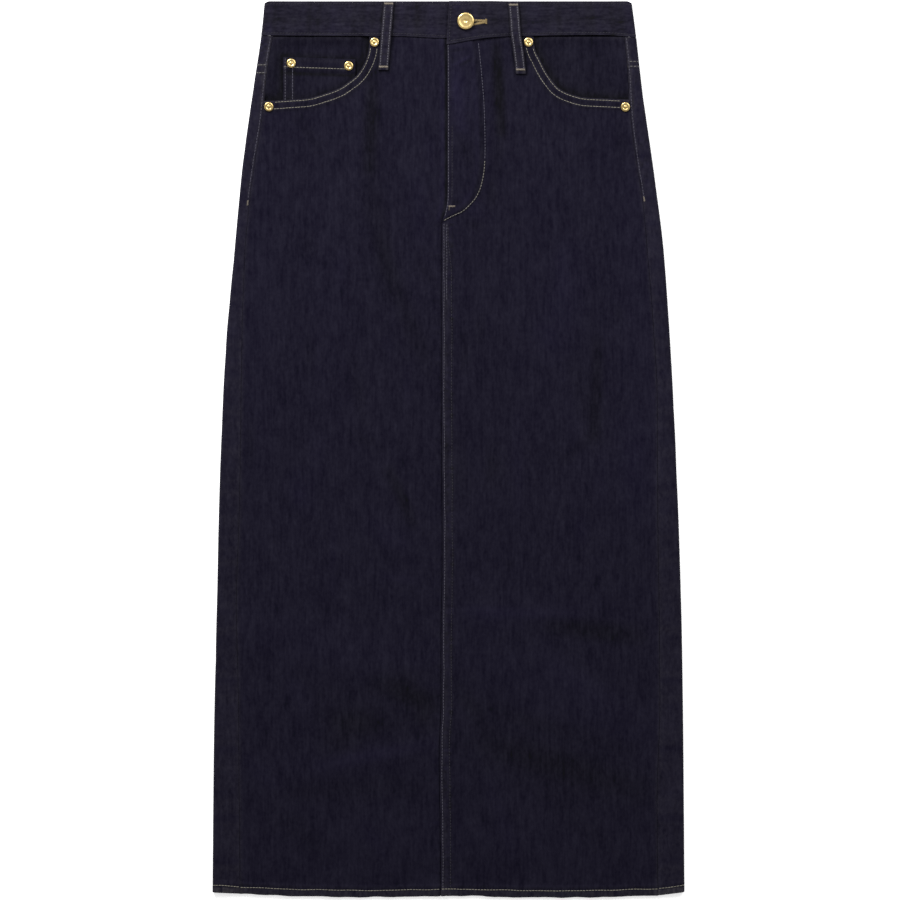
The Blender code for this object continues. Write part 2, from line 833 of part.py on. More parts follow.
def build_metal(collection):
    for rivet in PANEL_RIVETS:
        add_turned(rivet.name, RIVET_PROFILE, RIVET_STEPS, rivet.x, rivet.down,
                   panel_height, collection)
    for rivet in COIN_RIVETS:
        add_turned(rivet.name, RIVET_PROFILE, RIVET_STEPS, rivet.x, rivet.down,
                   coin_height, collection)
    add_turned("waist_button", BUTTON_PROFILE, BUTTON_STEPS, *BUTTON_AT,
               lambda x, down: band_height(x, 1, down), collection)


def build_skirt():
    skirt = new_collection("denim_skirt")
    build_waistband(skirt)
    build_front("front_panel_right", -1, skirt)
    build_front("front_panel_left", 1, skirt)
    build_fly_facing(skirt)
    build_back_panel("back_panel_right", -1, skirt)
    build_back_panel("back_panel_left", 1, skirt)
    build_yoke(skirt)
    build_pocket_facing("pocket_facing_right", -1, skirt)
    build_pocket_facing("pocket_facing_left", 1, skirt)
    build_coin_pocket(skirt)
    for loop in BELT_LOOPS:
        build_belt_loop(loop, skirt)
    build_metal(skirt)


for old in list(bpy.data.objects):
    bpy.data.objects.remove(old, do_unlink=True)
build_skirt()
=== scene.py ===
"""Looks of the long denim skirt, laid flat on its back and face up.

The cloth is made again here as fine shells on the forms of the solids, from the same sizes, with
its creases, folded hems and puckered seams. The sewing, the fastenings, the finishes, the light
and the camera are made here too.
Sizes are millimetres, and become metres only where a mesh is made. "down" is the distance from
the top of the waist towards the hem, and the band's edge stands TOP_RISE above it. "Right" and
"left" are the wearer's, so the right side of the skirt is at -X.
"""

import math
from collections import namedtuple

import bmesh
import bpy
import numpy as np
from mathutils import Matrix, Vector


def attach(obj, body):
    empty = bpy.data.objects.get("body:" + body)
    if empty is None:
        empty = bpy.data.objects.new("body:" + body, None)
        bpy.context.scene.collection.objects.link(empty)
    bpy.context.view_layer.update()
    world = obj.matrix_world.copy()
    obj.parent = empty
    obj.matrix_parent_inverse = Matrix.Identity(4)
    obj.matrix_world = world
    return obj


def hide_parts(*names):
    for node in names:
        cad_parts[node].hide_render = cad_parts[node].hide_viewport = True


METRE = 0.001

# Driving sizes, as in the solids.
HEM_LOWEST = 895.1
TOP_RISE = 1.2
LENGTH = HEM_LOWEST + TOP_RISE
MIDDLE = HEM_LOWEST - LENGTH / 2
SEAM_GAP = 0.35
LAYER = 1.45
BAND_WALL = 3.0
BAND_FOLD = 7.2
BAND_FOLD_REACH = 20.0
BAND_DEPTH = 34.0
BAND_FRONT = 2 * BAND_WALL + SEAM_GAP
BAND_LAP = BAND_WALL + SEAM_GAP
UNDERLAP_END = 40.0
LAP_CLIMB_FROM = 62.0
LAP_CLIMB_TO = 42.0
BAND_END_TOP = 0.5
BAND_END_SLANT = -2.5
FOLD_REACH = 28.0
FLY_UNDERLAP = 2.0
FLY_UNDERLAP_ENDS = 200.0
FLY_UNDERLAP_GONE = 209.0
FLY_STEP = 1.5
FLY_FACING_END = 213.0
FLY_ENDS = 214.0
WAIST_LIFT = BAND_LAP - LAYER
WAIST_LIFT_FADES = 55.0
YOKE_RIGHT = 72.5
YOKE_LEFT = 66.0
YOKE_CENTRE = 98.0
FACING_UNDER = 12.0
FACING_BLEND = 14.0
COIN_RIGHT_EDGE = -165.5
COIN_LEFT_EDGE = -93.0
COIN_TOP = 54.5
COIN_TOP_SLOPE = 2.5
COIN_UNDER = 8.0
HEM_TURN = 9.0
HEM_LIFT = 1.3
HEM_EASE = 3.0
HEM_INNER_EDGE = 9.2
BELT_LOOP_WIDTH = 10.0
LOOP_WALL = 1.7
LOOP_BEND_AT = 31.0
LOOP_BEND_REACH = 15.0
BUTTON_AT = (17.2, 19.0)

# Sizes of the finer cloth.
SHELL = 0.9
TURN_RADIUS = SHELL + 0.05
SHELL_BEVEL = 0.28
TOP_ROW = 118.0
HEM_ROW = 852.0
CREASE_FLOOR = -0.4
UNDERSIDE_CREASE = 0.4
UNDERSIDE_LOW = 0.03
UNDERSIDE_HIGH = 0.5
UNDER_BAND_DEPTH = 31.6
BAND_CORNER = 1.5
BAND_CORNER_REACH = 5.0
UNDER_SEAM_EASE = 14.0

# Sewing: distances of the rows of stitches from their edges, and the stitches themselves.
EDGE_ROW = 1.7
FLY_ROW = 1.1
FLY_SECOND_ROW = 4.6
FLY_BRIGHT_FROM = 157.5
MOUTH_SECOND_ROW = 8.2
MOUTH_SEWN_FROM = 45.5
RIVET_CLEAR = 4.4
FELL_FIRST_ROW = 2.3
FELL_CLOSE_ROW = 5.0
FELL_CLOSE_ENDS = 300.0
FELL_SECOND_ROW = 9.9
FELL_SPREAD_START = 6.6
FELL_SPREAD_FROM = 236.0
FELL_SPREAD_OVER = 40.0
FELL_WIDTH = 11.4
FELL_LIFT = 0.8
MOUTH_TURN = 9.4
MOUTH_TURN_EASE = 1.6
MOUTH_TURN_LIFT = 0.45
FRONT_MOUTH_REACH = 16.0
FACING_MOUTH_REACH = 20.0
HEM_ROW_UP = 6.8
YOKE_FIRST_ROW = 2.0
YOKE_SECOND_ROW = 9.3
STRIP_SECOND_RIGHT = 9.9
STRIP_SECOND_LEFT = 6.8
LOOP_ROW = 3.5
STITCH = 3.0
STITCH_SHARE = 0.92
THREAD = 0.31
UNDER_THREAD = 0.22
THREAD_LOWEST = 0.02
FINE_THREAD = 0.26
HEM_THREAD = 0.36
FLY_THREAD = 0.42
STRIP_THREAD = 0.42
GROOVE_DEPTH = 0.2
GROOVE_REACH = 1.0
PUCKER_REACH = 5.0


def table(columns, *rows, defaults=()):
    """Rows whose columns have names. The last columns may have defaults."""
    Row = namedtuple("Row", columns, defaults=defaults)
    return [Row(*row) for row in rows]


# Columns that several tables share.
PLACE = "x down"
RIVET = "name x down"
CREASE = "x down x_end down_end reach height tone"
TURNED = "radius height"

OUTLINE = table(
    "down right_edge left_edge",
    (0, -184, 183.2),
    (28, -186.7, 187),
    (87.5, -195.5, 193.8),
    (167.5, -206.5, 205.2),
    (247.5, -214.1, 215.2),
    (347.5, -223, 222.3),
    (467.5, -228.5, 228.2),
    (627.5, -232.4, 233.5),
    (747.5, -234.8, 235),
    (HEM_LOWEST, -236.1, 236.1),
)

SIDE_SEAMS = table(
    "down right_seam left_seam",
    (30, -175.2, 175.5),
    (67.5, -181.5, 179.2),
    (112.5, -186, 182),
    (162.5, -193.9, 188.4),
    (197.5, -198.7, 194),
    (247.5, -203.3, 198.8),
    (341.5, -206.6, 206),
    (400, -207.4, 208.8),
    (514.5, -209.4, 209.2),
    (600, -212, 210.6),
    (700, -210, 211.4),
    (797.5, -209.3, 208.6),
    (HEM_LOWEST, -208.4, 209.4),
)

LEVELS = table(
    "down body fold",
    (30, 5.6, 6.5),
    (60, 5.8, 6.6),
    (115, 5.7, 6.6),
    (180, 4.5, 6),
    (260, 3.3, 5.4),
    (360, 2.9, 5.1),
    (600, 2.8, 5),
    (860, 2.9, 5),
)

CENTRE_FRONT = table(
    "down edge stitch",
    (38, -1.4, 29.5),
    (70.5, -1, 32.9),
    (104.5, -1, 35.5),
    (146.5, -1, 36.5),
    (165.5, -1, 35.7),
    (181.5, -1, 32.9),
    (193, -1.2, 28.5),
    (201.5, -1.8, 21.9),
    (208.8, -3.2, 13.8),
    (213.5, -4.6, 3.6),
    (216.2, -5.6, -1.8),
    (218.4, -6.2, -5.2),
    (221, -6.8, -10),
    (400, -6.8, -12),
    (550, -6, -12),
    (650, -7.2, -12),
    (697, -7, -12),
    (750, -9, -12),
    (850, -7.8, -12),
    (HEM_LOWEST, -7.8, -12),
)

WAIST_SEAM_RIGHT = table(
    PLACE,
    (-186.5, 33),
    (-49, 33.8),
    (-6, 35.6),
    (2.5, 35.6),
    (14, 33.5),
)
WAIST_SEAM_LEFT = table(
    PLACE,
    (0, 42),
    (23.5, 37.8),
    (39.5, 35.5),
    (60.5, 34),
    (151.5, 32.5),
    (187.5, 35),
)

MOUTH_RIGHT = table(
    PLACE,
    (79, 33.6),
    (79.8, 47.5),
    (84.9, 62.5),
    (92.2, 73.3),
    (100.7, 80.1),
    (109.6, 85.9),
    (124.1, 91.3),
    (141.3, 95.9),
    (159.4, 97.2),
    (174.5, 98.3),
    (190, 99),
)
MOUTH_LEFT = table(
    PLACE,
    (85, 33.9),
    (86.3, 46),
    (91.3, 56.8),
    (97, 68.2),
    (103.7, 78.3),
    (111.3, 86.5),
    (122.5, 91.7),
    (136.3, 95.2),
    (157.2, 96.3),
    (169.5, 96.9),
    (190, 97.7),
)

HEM = table(
    PLACE,
    (-236.1, 890),
    (-188.5, 892.2),
    (-128.5, 894.3),
    (-73.5, 894.7),
    (11.5, 893.5),
    (76.5, 895),
    (111.5, HEM_LOWEST),
    (201.5, 893.4),
    (236.1, 889.6),
)

RIDGES = table(
    "x down x_end down_end reach height",
    (-125, 175, -112, 430, 52, 1.5),
    (-42, 110, -26, 290, 26, 1),
    (102, 175, 96, 420, 48, 1.5),
    (128, 370, 140, 530, 26, 1.1),
    (-78, 512, -38, 548, 20, 1),
    (22, 606, 150, 612, 22, 1),
    (-196, 636, -22, 668, 38, 2),
    (-168, 772, -14, 744, 28, 1.5),
    (32, 662, 196, 738, 40, 2.2),
    (-120, 838, 118, 846, 26, 0.9),
)

BELT_LOOPS = table(
    "name x down x_end down_end bend",
    ("belt_loop_right", -59.6, -0.9, -65.3, 67.8, 0),
    ("belt_loop_left", 64.6, -0.9, 72.5, 71.6, -0.85),
)

PANEL_RIVETS = table(
    RIVET,
    ("rivet_right_pocket_top", -74, 39.8),
    ("rivet_right_pocket_side", -179.6, 104.3),
    ("rivet_left_pocket_top", 80, 39.8),
    ("rivet_left_pocket_side", 176.8, 104.6),
)
COIN_RIVETS = table(
    RIVET,
    ("rivet_coin_outer", -157.3, 60.8),
    ("rivet_coin_inner", -99.8, 63.4),
)

# Finer creases of the front: soft ridges and troughs, with painted light along each ridge and
# painted shade along each trough, in the last column.
CREASES = table(
    CREASE,
    # Hips and fly.
    (-86, 84, -88, 176, 14, 0.5, 0.04),
    (-76, 74, -79, 165, 12, -0.35, -0.5),
    (-80, 168, -58, 290, 16, -0.3, -0.18),
    (-66, 240, -38, 325, 13, -0.3, -0.17),
    (-151, 115, -128, 148, 9, -0.25, -0.13),
    (48, 44, 53, 130, 9, -0.4, -0.7),
    (53, 122, 48, 170, 10, -0.25, -0.14),
    (23, 42, 22, 64, 6, -0.2, -0.16),
    (13, 138, 24, 162, 10, -0.2, -0.14),
    (9, 68, 11, 125, 10, 0.3, 0.32),
    (44, 178, 45, 204, 9, -0.3, -0.18),
    (20, 222, 32, 225, 8, -0.25, -0.16),
    (172, 112, 178, 168, 15, -0.2, -0.12),
    (-20, 138, -16, 165, 9, 0.3, 0.12),
    (-30, 176, -26, 235, 14, 0.45, 0.13),
    (115, 245, 114, 290, 9, 0.35, 0.13),
    (-105, 250, -108, 283, 9, 0.3, 0.11),
    (-141, 236, -140, 250, 12, -0.25, -0.12),
    (-30, 262, -14, 278, 9, -0.25, -0.14),
    # Middle.
    (-38, 320, -18, 366, 16, -0.3, -0.13),
    (17, 335, 16, 368, 9, -0.3, -0.15),
    (32, 318, 30, 338, 9, -0.25, -0.12),
    (-139, 340, -138, 368, 9, -0.25, -0.12),
    (-96, 356, -84, 420, 11, -0.3, -0.12),
    (-98, 430, -72, 445, 10, -0.25, -0.12),
    (-61, 338, -60, 352, 10, 0.35, 0.12),
    (-42, 365, -41, 405, 7, 0.35, 0.12),
    (-59, 468, -36, 520, 9, -0.4, -0.36),
    (-66, 574, -32, 581, 7, 0.45, 0.13),
    (-132, 436, -131, 476, 13, 0.35, 0.1),
    (-152, 494, -146, 500, 10, 0.35, 0.12),
    (-115, 520, -116, 588, 6, 0.3, 0.1),
    (-198, 420, -199, 462, 8, -0.25, -0.14),
    (95, 330, 105, 340, 12, 0.4, 0.12),
    (68, 412, 70, 508, 8, 0.35, 0.12),
    (149, 338, 147, 432, 10, -0.4, -0.32),
    (143, 432, 118, 458, 10, -0.3, -0.14),
    (169, 308, 171, 316, 10, -0.3, -0.16),
    (155, 452, 153, 500, 14, 0.35, 0.1),
    (134, 520, 133, 536, 10, 0.35, 0.12),
    (42, 455, 42, 485, 9, -0.25, -0.12),
    (61, 560, 63, 564, 7, -0.3, -0.15),
    (20, 576, 34, 582, 8, 0.35, 0.1),
    # Above the hem.
    (20, 609, 128, 614, 9, 0.5, 0.22),
    (106, 624, 190, 634, 16, -0.35, -0.38),
    (-74, 682, -10, 700, 16, -0.3, -0.32),
    (-130, 714, -76, 722, 14, -0.3, -0.13),
    (-128, 764, -16, 742, 11, 0.45, 0.24),
    (-160, 792, -20, 784, 18, -0.3, -0.12),
    (-204, 758, -168, 790, 12, 0.3, 0.08),
    (-158, 676, -138, 712, 12, 0.3, 0.1),
    (8, 680, 36, 728, 13, -0.3, -0.13),
    (44, 744, 190, 786, 22, -0.3, -0.22),
    (-86, 820, -64, 854, 10, 0.3, 0.1),
    (38, 778, 66, 852, 12, 0.3, 0.1),
    (-170, 812, -124, 850, 18, -0.25, -0.1),
    (104, 800, 168, 852, 20, -0.2, -0.08),
    (-52, 672, -30, 706, 24, -0.2, -0.12),
    (-120, 700, -30, 735, 34, -0.1, -0.14),
    (14, 700, 186, 749, 13, -0.3, -0.12),
    (30, 738, 180, 790, 44, -0.1, -0.15),
    (92, 650, 150, 698, 20, 0.2, 0.12),
    # Broad patches of painted light and shade, where the cloth would catch more or less of the light.
    (190, 60, 200, 500, 58, 0, 0.13),
    (-196, 110, -206, 440, 52, 0, 0.1),
    (108, 340, 128, 250, 30, 0, 0.17),
    (184, 425, 187, 500, 26, 0, 0.16),
    (18, 612, 66, 618, 16, 0, 0.17),
    (18, 196, 28, 208, 13, 0, 0.25),
    (14, 120, 18, 132, 9, 0, 0.2),
    (-4, 48, -4, 60, 9, 0, -0.22),
    (-152, 475, -144, 498, 20, 0, 0.17),
    (-76, 526, -48, 542, 16, 0, 0.17),
    (-120, 744, -86, 722, 26, 0, -0.24),
    (-28, 704, -18, 720, 18, 0, -0.26),
    (4, 440, 10, 490, 20, 0, -0.15),
    (46, 445, 50, 480, 14, 0, -0.12),
    (126, 360, 146, 440, 15, 0, -0.14),
    (-12, 672, -62, 676, 12, 0, -0.12),
    # Small ones beside the fly.
    (-0.5, 49.5, 17.5, 46.5, 2.6, -0.2, -0.45),
    (6.5, 62.5, 21.5, 54, 2.6, 0.3, 0.5),
    (11.5, 63.5, 22.5, 57, 2.4, -0.2, -0.4),
    (3.5, 54.5, 3.6, 59.5, 2.4, -0.15, -0.4),
    (6.5, 72.5, 6.5, 97.5, 5, 0.12, 0.25),
    (4, 199.5, 11, 200.5, 3.5, -0.1, -0.35),
)

# Short wrinkles across the fly, one above the other, drawn only as painted light and shade, and small
# rubbed marks near the side seams.
LADDERS = table(
    "x reach down down_end pitch",
    (3, 3.5, 85.5, 103.5, 2.25),
    (20, 3.5, 93.5, 101.5, 2.3),
)
MARKS = table(
    "x down reach_x reach_down wear",
    (-185, 137.5, 1.6, 2.2, 0.1),
    (-189.5, 90.5, 6, 1, 0.05),
    (185.3, 130, 1.3, 9, 0.05),
    (191.5, 159, 6, 1, 0.05),
    (192, 164, 6, 1, 0.05),
)

# Painted light on soft rolls of the waistband's upper face, by x and the distance from its top.
BAND_CREASES = table(
    CREASE,
    (4, 3, 15, 3.5, 6.5, 0, 0.5),
    (-182, 25, -179, 32, 7, 0, 0.45),
)

# Creases of the underside, pressed up into it. Their heights are how far up, and their last column is
# painted shade along them.
UNDER_CREASES = table(
    CREASE,
    (-120, 150, -96, 330, 30, 0.4, -0.08),
    (-40, 210, -22, 300, 18, 0.3, -0.08),
    (88, 160, 104, 300, 26, 0.4, -0.08),
    (30, 330, 66, 420, 16, 0.3, -0.07),
    (-150, 430, -60, 470, 20, 0.35, -0.08),
    (120, 480, 190, 560, 22, 0.35, -0.08),
    (-180, 600, -60, 640, 24, 0.4, -0.09),
    (20, 640, 170, 690, 26, 0.4, -0.09),
    (-150, 740, -20, 720, 20, 0.35, -0.08),
    (60, 780, 200, 810, 22, 0.3, -0.07),
    (-200, 820, -90, 846, 18, 0.25, -0.06),
)

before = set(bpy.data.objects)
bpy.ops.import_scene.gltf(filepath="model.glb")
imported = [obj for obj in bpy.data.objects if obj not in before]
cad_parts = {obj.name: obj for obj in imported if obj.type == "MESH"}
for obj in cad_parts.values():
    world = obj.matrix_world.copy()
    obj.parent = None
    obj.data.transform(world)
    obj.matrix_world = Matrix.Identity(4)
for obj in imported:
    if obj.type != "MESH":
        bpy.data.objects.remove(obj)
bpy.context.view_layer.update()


# Reading the tables. Every function below takes arrays of places.

def ease(share):
    """Smooth step from 0 to 1 as share goes from 0 to 1."""
    share = np.clip(share, 0.0, 1.0)
    return share * share * (3.0 - 2.0 * share)


def bell(distance, reach):
    """1 at no distance, and near 0 beyond the reach."""
    return np.exp(-((distance / reach) ** 2))


def read(rows, key, column, at):
    """A column's values where the key is at, on a smooth curve through the rows."""
    keys = np.array([getattr(row, key) for row in rows])
    values = np.array([getattr(row, column) for row in rows])
    spans = np.diff(keys)
    rises = np.diff(values) / spans
    before = rises[:-1]
    after = rises[1:]
    agree = before * after > 0.0
    total = np.where(agree, before + after, 1.0)
    steady = np.where(agree, 2.0 * before * after / total, 0.0)
    slopes = np.concatenate(([rises[0]], steady, [rises[-1]]))
    at = np.clip(at, keys[0], keys[-1])
    i = np.clip(np.searchsorted(keys, at, side="right") - 1, 0, len(spans) - 1)
    t = (at - keys[i]) / spans[i]
    start = values[i] * (1 + 2 * t) * (1 - t) ** 2 + spans[i] * slopes[i] * t * (1 - t) ** 2
    end = values[i + 1] * (3 - 2 * t) * t ** 2 - spans[i] * slopes[i + 1] * t ** 2 * (1 - t)
    return start + end


def sided(side, right, left):
    """Right value where side is negative, and left value elsewhere."""
    return np.where(np.asarray(side) < 0, right, left)


def outline_edge(side, down):
    right = read(OUTLINE, "down", "right_edge", down)
    return sided(side, right, read(OUTLINE, "down", "left_edge", down))


def side_seam(side, down):
    right = read(SIDE_SEAMS, "down", "right_seam", down)
    return sided(side, right, read(SIDE_SEAMS, "down", "left_seam", down))


def fly_edge(down):
    return read(CENTRE_FRONT, "down", "edge", down)


def fly_stitch(down):
    return read(CENTRE_FRONT, "down", "stitch", down)


def hem_down(x):
    return read(HEM, "x", "down", x)


def waist_seam(side, x):
    right = read(WAIST_SEAM_RIGHT, "x", "down", x)
    return sided(side, right, read(WAIST_SEAM_LEFT, "x", "down", x))


def mouth_rows(side):
    return MOUTH_RIGHT if side < 0 else MOUTH_LEFT


def mouth_edge(side, x):
    return read(mouth_rows(side), "x", "down", side * np.asarray(x))


def right_front_edge(down):
    """Centre edge of the right front: it runs on under the fly, and stops at the seam below."""
    beside = fly_edge(down) - SEAM_GAP
    gone = np.clip((down - FLY_UNDERLAP_ENDS) / (FLY_UNDERLAP_GONE - FLY_UNDERLAP_ENDS), 0, 1)
    return FLY_UNDERLAP + (beside - FLY_UNDERLAP) * gone


# Unevenness that is the same at each run.

def ripples(along, wavelength, seed):
    """Uneven waves along a line, from about -1 to 1."""
    draw = np.random.default_rng(seed)
    total = np.zeros_like(along, dtype=float)
    for stretch in (0.62, 0.85, 1.2, 1.9):
        phase = draw.uniform(0, 2 * math.pi)
        length = wavelength * stretch * draw.uniform(0.9, 1.1)
        total += 0.5 * np.sin(2 * math.pi * along / length + phase)
    return total


def mottle(x, down, shortest, longest, seed):
    """Uneven waves in every direction over a surface, from about -1 to 1."""
    draw = np.random.default_rng(seed)
    total = np.zeros_like(x, dtype=float)
    waves = 18
    for _ in range(waves):
        turn = draw.uniform(0, math.pi)
        length = draw.uniform(shortest, longest)
        phase = draw.uniform(0, 2 * math.pi)
        across = x * math.cos(turn) + down * math.sin(turn)
        total += np.sin(2 * math.pi * across / length + phase)
    return total / math.sqrt(waves)


def points_at(x, down, height):
    return np.stack([x, MIDDLE - down, height], axis=-1)


# Heights above the floor, as in the solids, with the finer creases.

def hem_lift(x, down):
    return HEM_LIFT * ease((HEM_TURN + HEM_EASE - (hem_down(x) - down)) / HEM_EASE)


def fold_height(side, down):
    edge = outline_edge(side, down)
    return read(LEVELS, "down", "fold", down) + hem_lift(edge, down)


def crease_share(crease, x, down):
    """How much a crease acts at each place: 1 on its line, less towards its ends, 0 outside."""
    run_x = crease.x_end - crease.x
    run_down = crease.down_end - crease.down
    along = ((x - crease.x) * run_x + (down - crease.down) * run_down) / (run_x**2 + run_down**2)
    nearest = np.clip(along, 0.0, 1.0)
    off = np.hypot(x - crease.x - run_x * nearest, down - crease.down - run_down * nearest)
    off = np.minimum(off / crease.reach, 1.0)
    return (1.0 - off * off) ** 2 * (0.55 + 0.45 * np.sin(math.pi * nearest))


def crease_height(x, down):
    total = 0.13 * mottle(x, down, 26.0, 70.0, 5) + 0.035 * mottle(x, down, 9.0, 18.0, 6)
    for crease in CREASES:
        total = total + crease.height * crease_share(crease, x, down)
    return np.maximum(total, CREASE_FLOOR)


# Painted light and shade along creases, from their last column.
def crease_light_and_shade(x, down, creases):
    total = np.zeros_like(x, dtype=float)
    for crease in creases:
        total += crease.tone * crease_share(crease, x, down)
    return total


def front_height(x, down):
    """Outer face of the fronts, without the fly's lift."""
    side = np.where(x < 0, -1.0, 1.0)
    fold = fold_height(side, down)
    body = read(LEVELS, "down", "body", down) + hem_lift(x, down)
    inward = side * (outline_edge(side, down) - x) - fold / 2
    share = ease(inward / FOLD_REACH)
    ridges = np.zeros_like(x, dtype=float)
    for ridge in RIDGES:
        ridges = np.maximum(ridges, ridge.height * crease_share(ridge, x, down))
    return fold + (body - fold) * share + (ridges + crease_height(x, down)) * share


def fly_lift(x, down):
    """How far the fly's facing and the band's lapped ends raise the left front."""
    facing = LAYER * ease((fly_stitch(down) - x + FLY_STEP) / (2 * FLY_STEP))
    across = ease((LAP_CLIMB_FROM - x) / (LAP_CLIMB_FROM - LAP_CLIMB_TO))
    fade = 1.0 - ease((down - BAND_DEPTH - 6.0) / WAIST_LIFT_FADES)
    return facing + WAIST_LIFT * across * fade


# Paths of the sewing on the fronts, as lists of (x, down) points.

def path_of(x, down):
    return np.stack(np.broadcast_arrays(np.asarray(x, float), np.asarray(down, float)), axis=-1)


def arc_lengths(path):
    steps = np.linalg.norm(np.diff(path, axis=0), axis=1)
    return np.concatenate(([0.0], np.cumsum(steps)))


def evenly(path, spacing):
    """The same path with its points evenly spaced."""
    arcs = arc_lengths(path)
    count = max(int(arcs[-1] / spacing) + 1, 2)
    at = np.linspace(0.0, arcs[-1], count)
    return np.stack([np.interp(at, arcs, path[:, i]) for i in range(path.shape[1])], axis=-1)


def offset_path(path, distance):
    """The path moved sideways, to its left as it runs in the (x, down) plane."""
    run = np.gradient(path, axis=0)
    run /= np.linalg.norm(run, axis=1)[:, None]
    return path + distance * np.stack([-run[:, 1], run[:, 0]], axis=-1)


def mouth_path(side):
    """Edge of the pocket mouth, from the waist seam to the side seam."""
    rows = mouth_rows(side)
    x = side * np.linspace(rows[0].x, rows[-1].x, 1200)
    path = path_of(x, mouth_edge(side, x))
    return evenly(path[side * x < side * side_seam(side, path[:, 1])], 1.5)


def mouth_row(side, distance):
    """Row of stitches below the pocket mouth, between its rivets."""
    row = offset_path(mouth_path(side), side * distance)
    far = PANEL_RIVETS[1].x if side < 0 else PANEL_RIVETS[3].x
    keep = (row[:, 1] >= MOUTH_SEWN_FROM) & (side * row[:, 0] < side * far - RIVET_CLEAR)
    return row[keep]


def fell_row(distance, start, end=HEM_LOWEST - 2.0):
    """Row of stitches along the centre front seam, below the fly. The far one starts closer."""
    down = np.arange(start, end, 4.0)
    spread = ease((down - FELL_SPREAD_FROM) / FELL_SPREAD_OVER)
    close = min(distance, FELL_SPREAD_START)
    x = fly_edge(down) + close + (distance - close) * spread
    x = x + 0.25 * ripples(down, 60.0, int(distance * 10))
    keep = down < hem_down(x) - 1.0
    return path_of(x[keep], down[keep])


def fly_curve():
    down = np.concatenate((np.arange(41.0, 190.0, 4.0), np.linspace(190.0, 218.2, 32)))
    return evenly(path_of(fly_stitch(down), down), 1.5)


def fly_row(distance, start, end):
    """Row of stitches beside the fly's edge."""
    down = np.arange(start, end, 4.0)
    return path_of(fly_edge(down) + distance, down)


def hem_row(side):
    x = np.linspace(0.0, 1.0, 60)
    inner = fly_edge(HEM_LOWEST) + (1.0 if side > 0 else -1.2)
    x = inner + (side_seam(side, HEM_LOWEST) - inner) * x
    down = hem_down(x) - HEM_ROW_UP + 0.3 * ripples(x, 55.0, 31)
    return path_of(x, down)


FRONT_ROWS = {
    -1: {
        "mouth": mouth_row(-1, EDGE_ROW),
        "mouth_second": mouth_row(-1, MOUTH_SECOND_ROW),
        "hem": hem_row(-1),
    },
    1: {
        "mouth": mouth_row(1, EDGE_ROW),
        "mouth_second": mouth_row(1, MOUTH_SECOND_ROW),
        "fly_curve": fly_curve(),
        "fly_edge": fly_row(FLY_ROW, 42.0, 217.0),
        "fell_first": fell_row(FELL_FIRST_ROW, 221.0),
        "fell_second": fell_row(FELL_SECOND_ROW, 225.0),
        "fly_second": fly_row(FLY_SECOND_ROW, 124.0, 198.0),
        "fell_close": fell_row(FELL_CLOSE_ROW, 222.0, FELL_CLOSE_ENDS),
        "hem": hem_row(1),
    },
}


def near_path(x, down, path, reach):
    """Distance of each place from a path, and how far along the path its nearest point is."""
    distance = np.full(x.shape, 1e3)
    along = np.zeros(x.shape)
    low = path.min(axis=0) - reach
    high = path.max(axis=0) + reach
    close = (x > low[0]) & (x < high[0]) & (down > low[1]) & (down < high[1])
    place = np.stack([x[close], down[close]], axis=-1)
    best = np.full(len(place), 1e3)
    where = np.zeros(len(place))
    arcs = arc_lengths(path)
    for start, end, arc in zip(path[:-1], path[1:], arcs[:-1]):
        run = end - start
        length = max(float(np.hypot(*run)), 1e-6)
        share = np.clip((place - start) @ run / length**2, 0.0, 1.0)
        off = np.hypot(*(place - start - share[:, None] * run).T)
        closer = off < best
        best[closer] = off[closer]
        where[closer] = (arc + share * length)[closer]
    distance[close] = best
    along[close] = where
    return distance, along


# Soft stripes beside a line of the cloth: how far off it, how wide, and what they add. They fade in
# over "over" from "start", and out over "out" towards "end", both distances from the waist. With a
# wavelength they come and go along "along". side_seam is below 0 on the back's side of the seam.
PAINTED = "line off reach tone wear start over end out along wavelength seed"
PRESSED = "line off reach height start over end out along wavelength seed"
TO_HEM = (1000.0, 1.0)
ALL_DOWN = (-10.0, 1.0, *TO_HEM)
EVEN = ("", 0.0, 0)


def painted(*rows):
    return table(PAINTED, *rows, defaults=ALL_DOWN + EVEN)


def pressed(*rows):
    return table(PRESSED, *rows, defaults=ALL_DOWN + EVEN)


FRONT_RELIEF = pressed(
    ("mouth", 0, 0.8, -0.25),
    ("side_seam", 0, 2.6, 0.3),
    ("side_seam", 0, 9, 0.1, *ALL_DOWN, "down", 14, 40),
    ("waist", 0, 2.2, -0.35),
    ("waist", 0, 7, 0.16, *ALL_DOWN, "x", 11, 41),
)
LEFT_RELIEF = pressed(
    ("centre", 0, 0.7, -0.25),
)
RIGHT_RELIEF = pressed(
    ("centre", 0, 1.4, -0.35, 205, 12),
    ("centre", 0, 6, 0.1, 205, 12, *TO_HEM, "down", 12, 43),
)
STRIP_RELIEF = pressed(
    ("side_seam", 0, 1.5, -0.15),
    ("side_seam", -EDGE_ROW, GROOVE_REACH, -GROOVE_DEPTH, -10, 1, 204, 8),
    ("side_seam", 0, 7, 0.12, *ALL_DOWN, "down", 12, 45),
    ("yoke", 0, 1, -0.3),
)
BAND_ROLLS = pressed(
    ("down", 12, 5, 0.16),
    ("down", 19, 4, -0.2),
    ("down", 28, 4.5, 0.22),
)
# The darker stripes between and below the pocket mouth's rows are painted shade, and the one at the hem's
# inner edge is a painted shadow of the turned hem.
FRONT_PAINT = painted(
    ("mouth", 0.9, 1.5, 0, 0.22),
    ("mouth", MOUTH_SECOND_ROW, 1.8, 0, 0.07),
    ("mouth", 5.2, 2, -0.25, 0),
    ("mouth", 11, 2, -0.15, 0),
    ("side_seam", 0, 2.2, 0, 0.1),
    ("waist", 2, 1.3, 0, 0.05),
    ("hem", HEM_INNER_EDGE, 1.3, -0.35, 0),
)
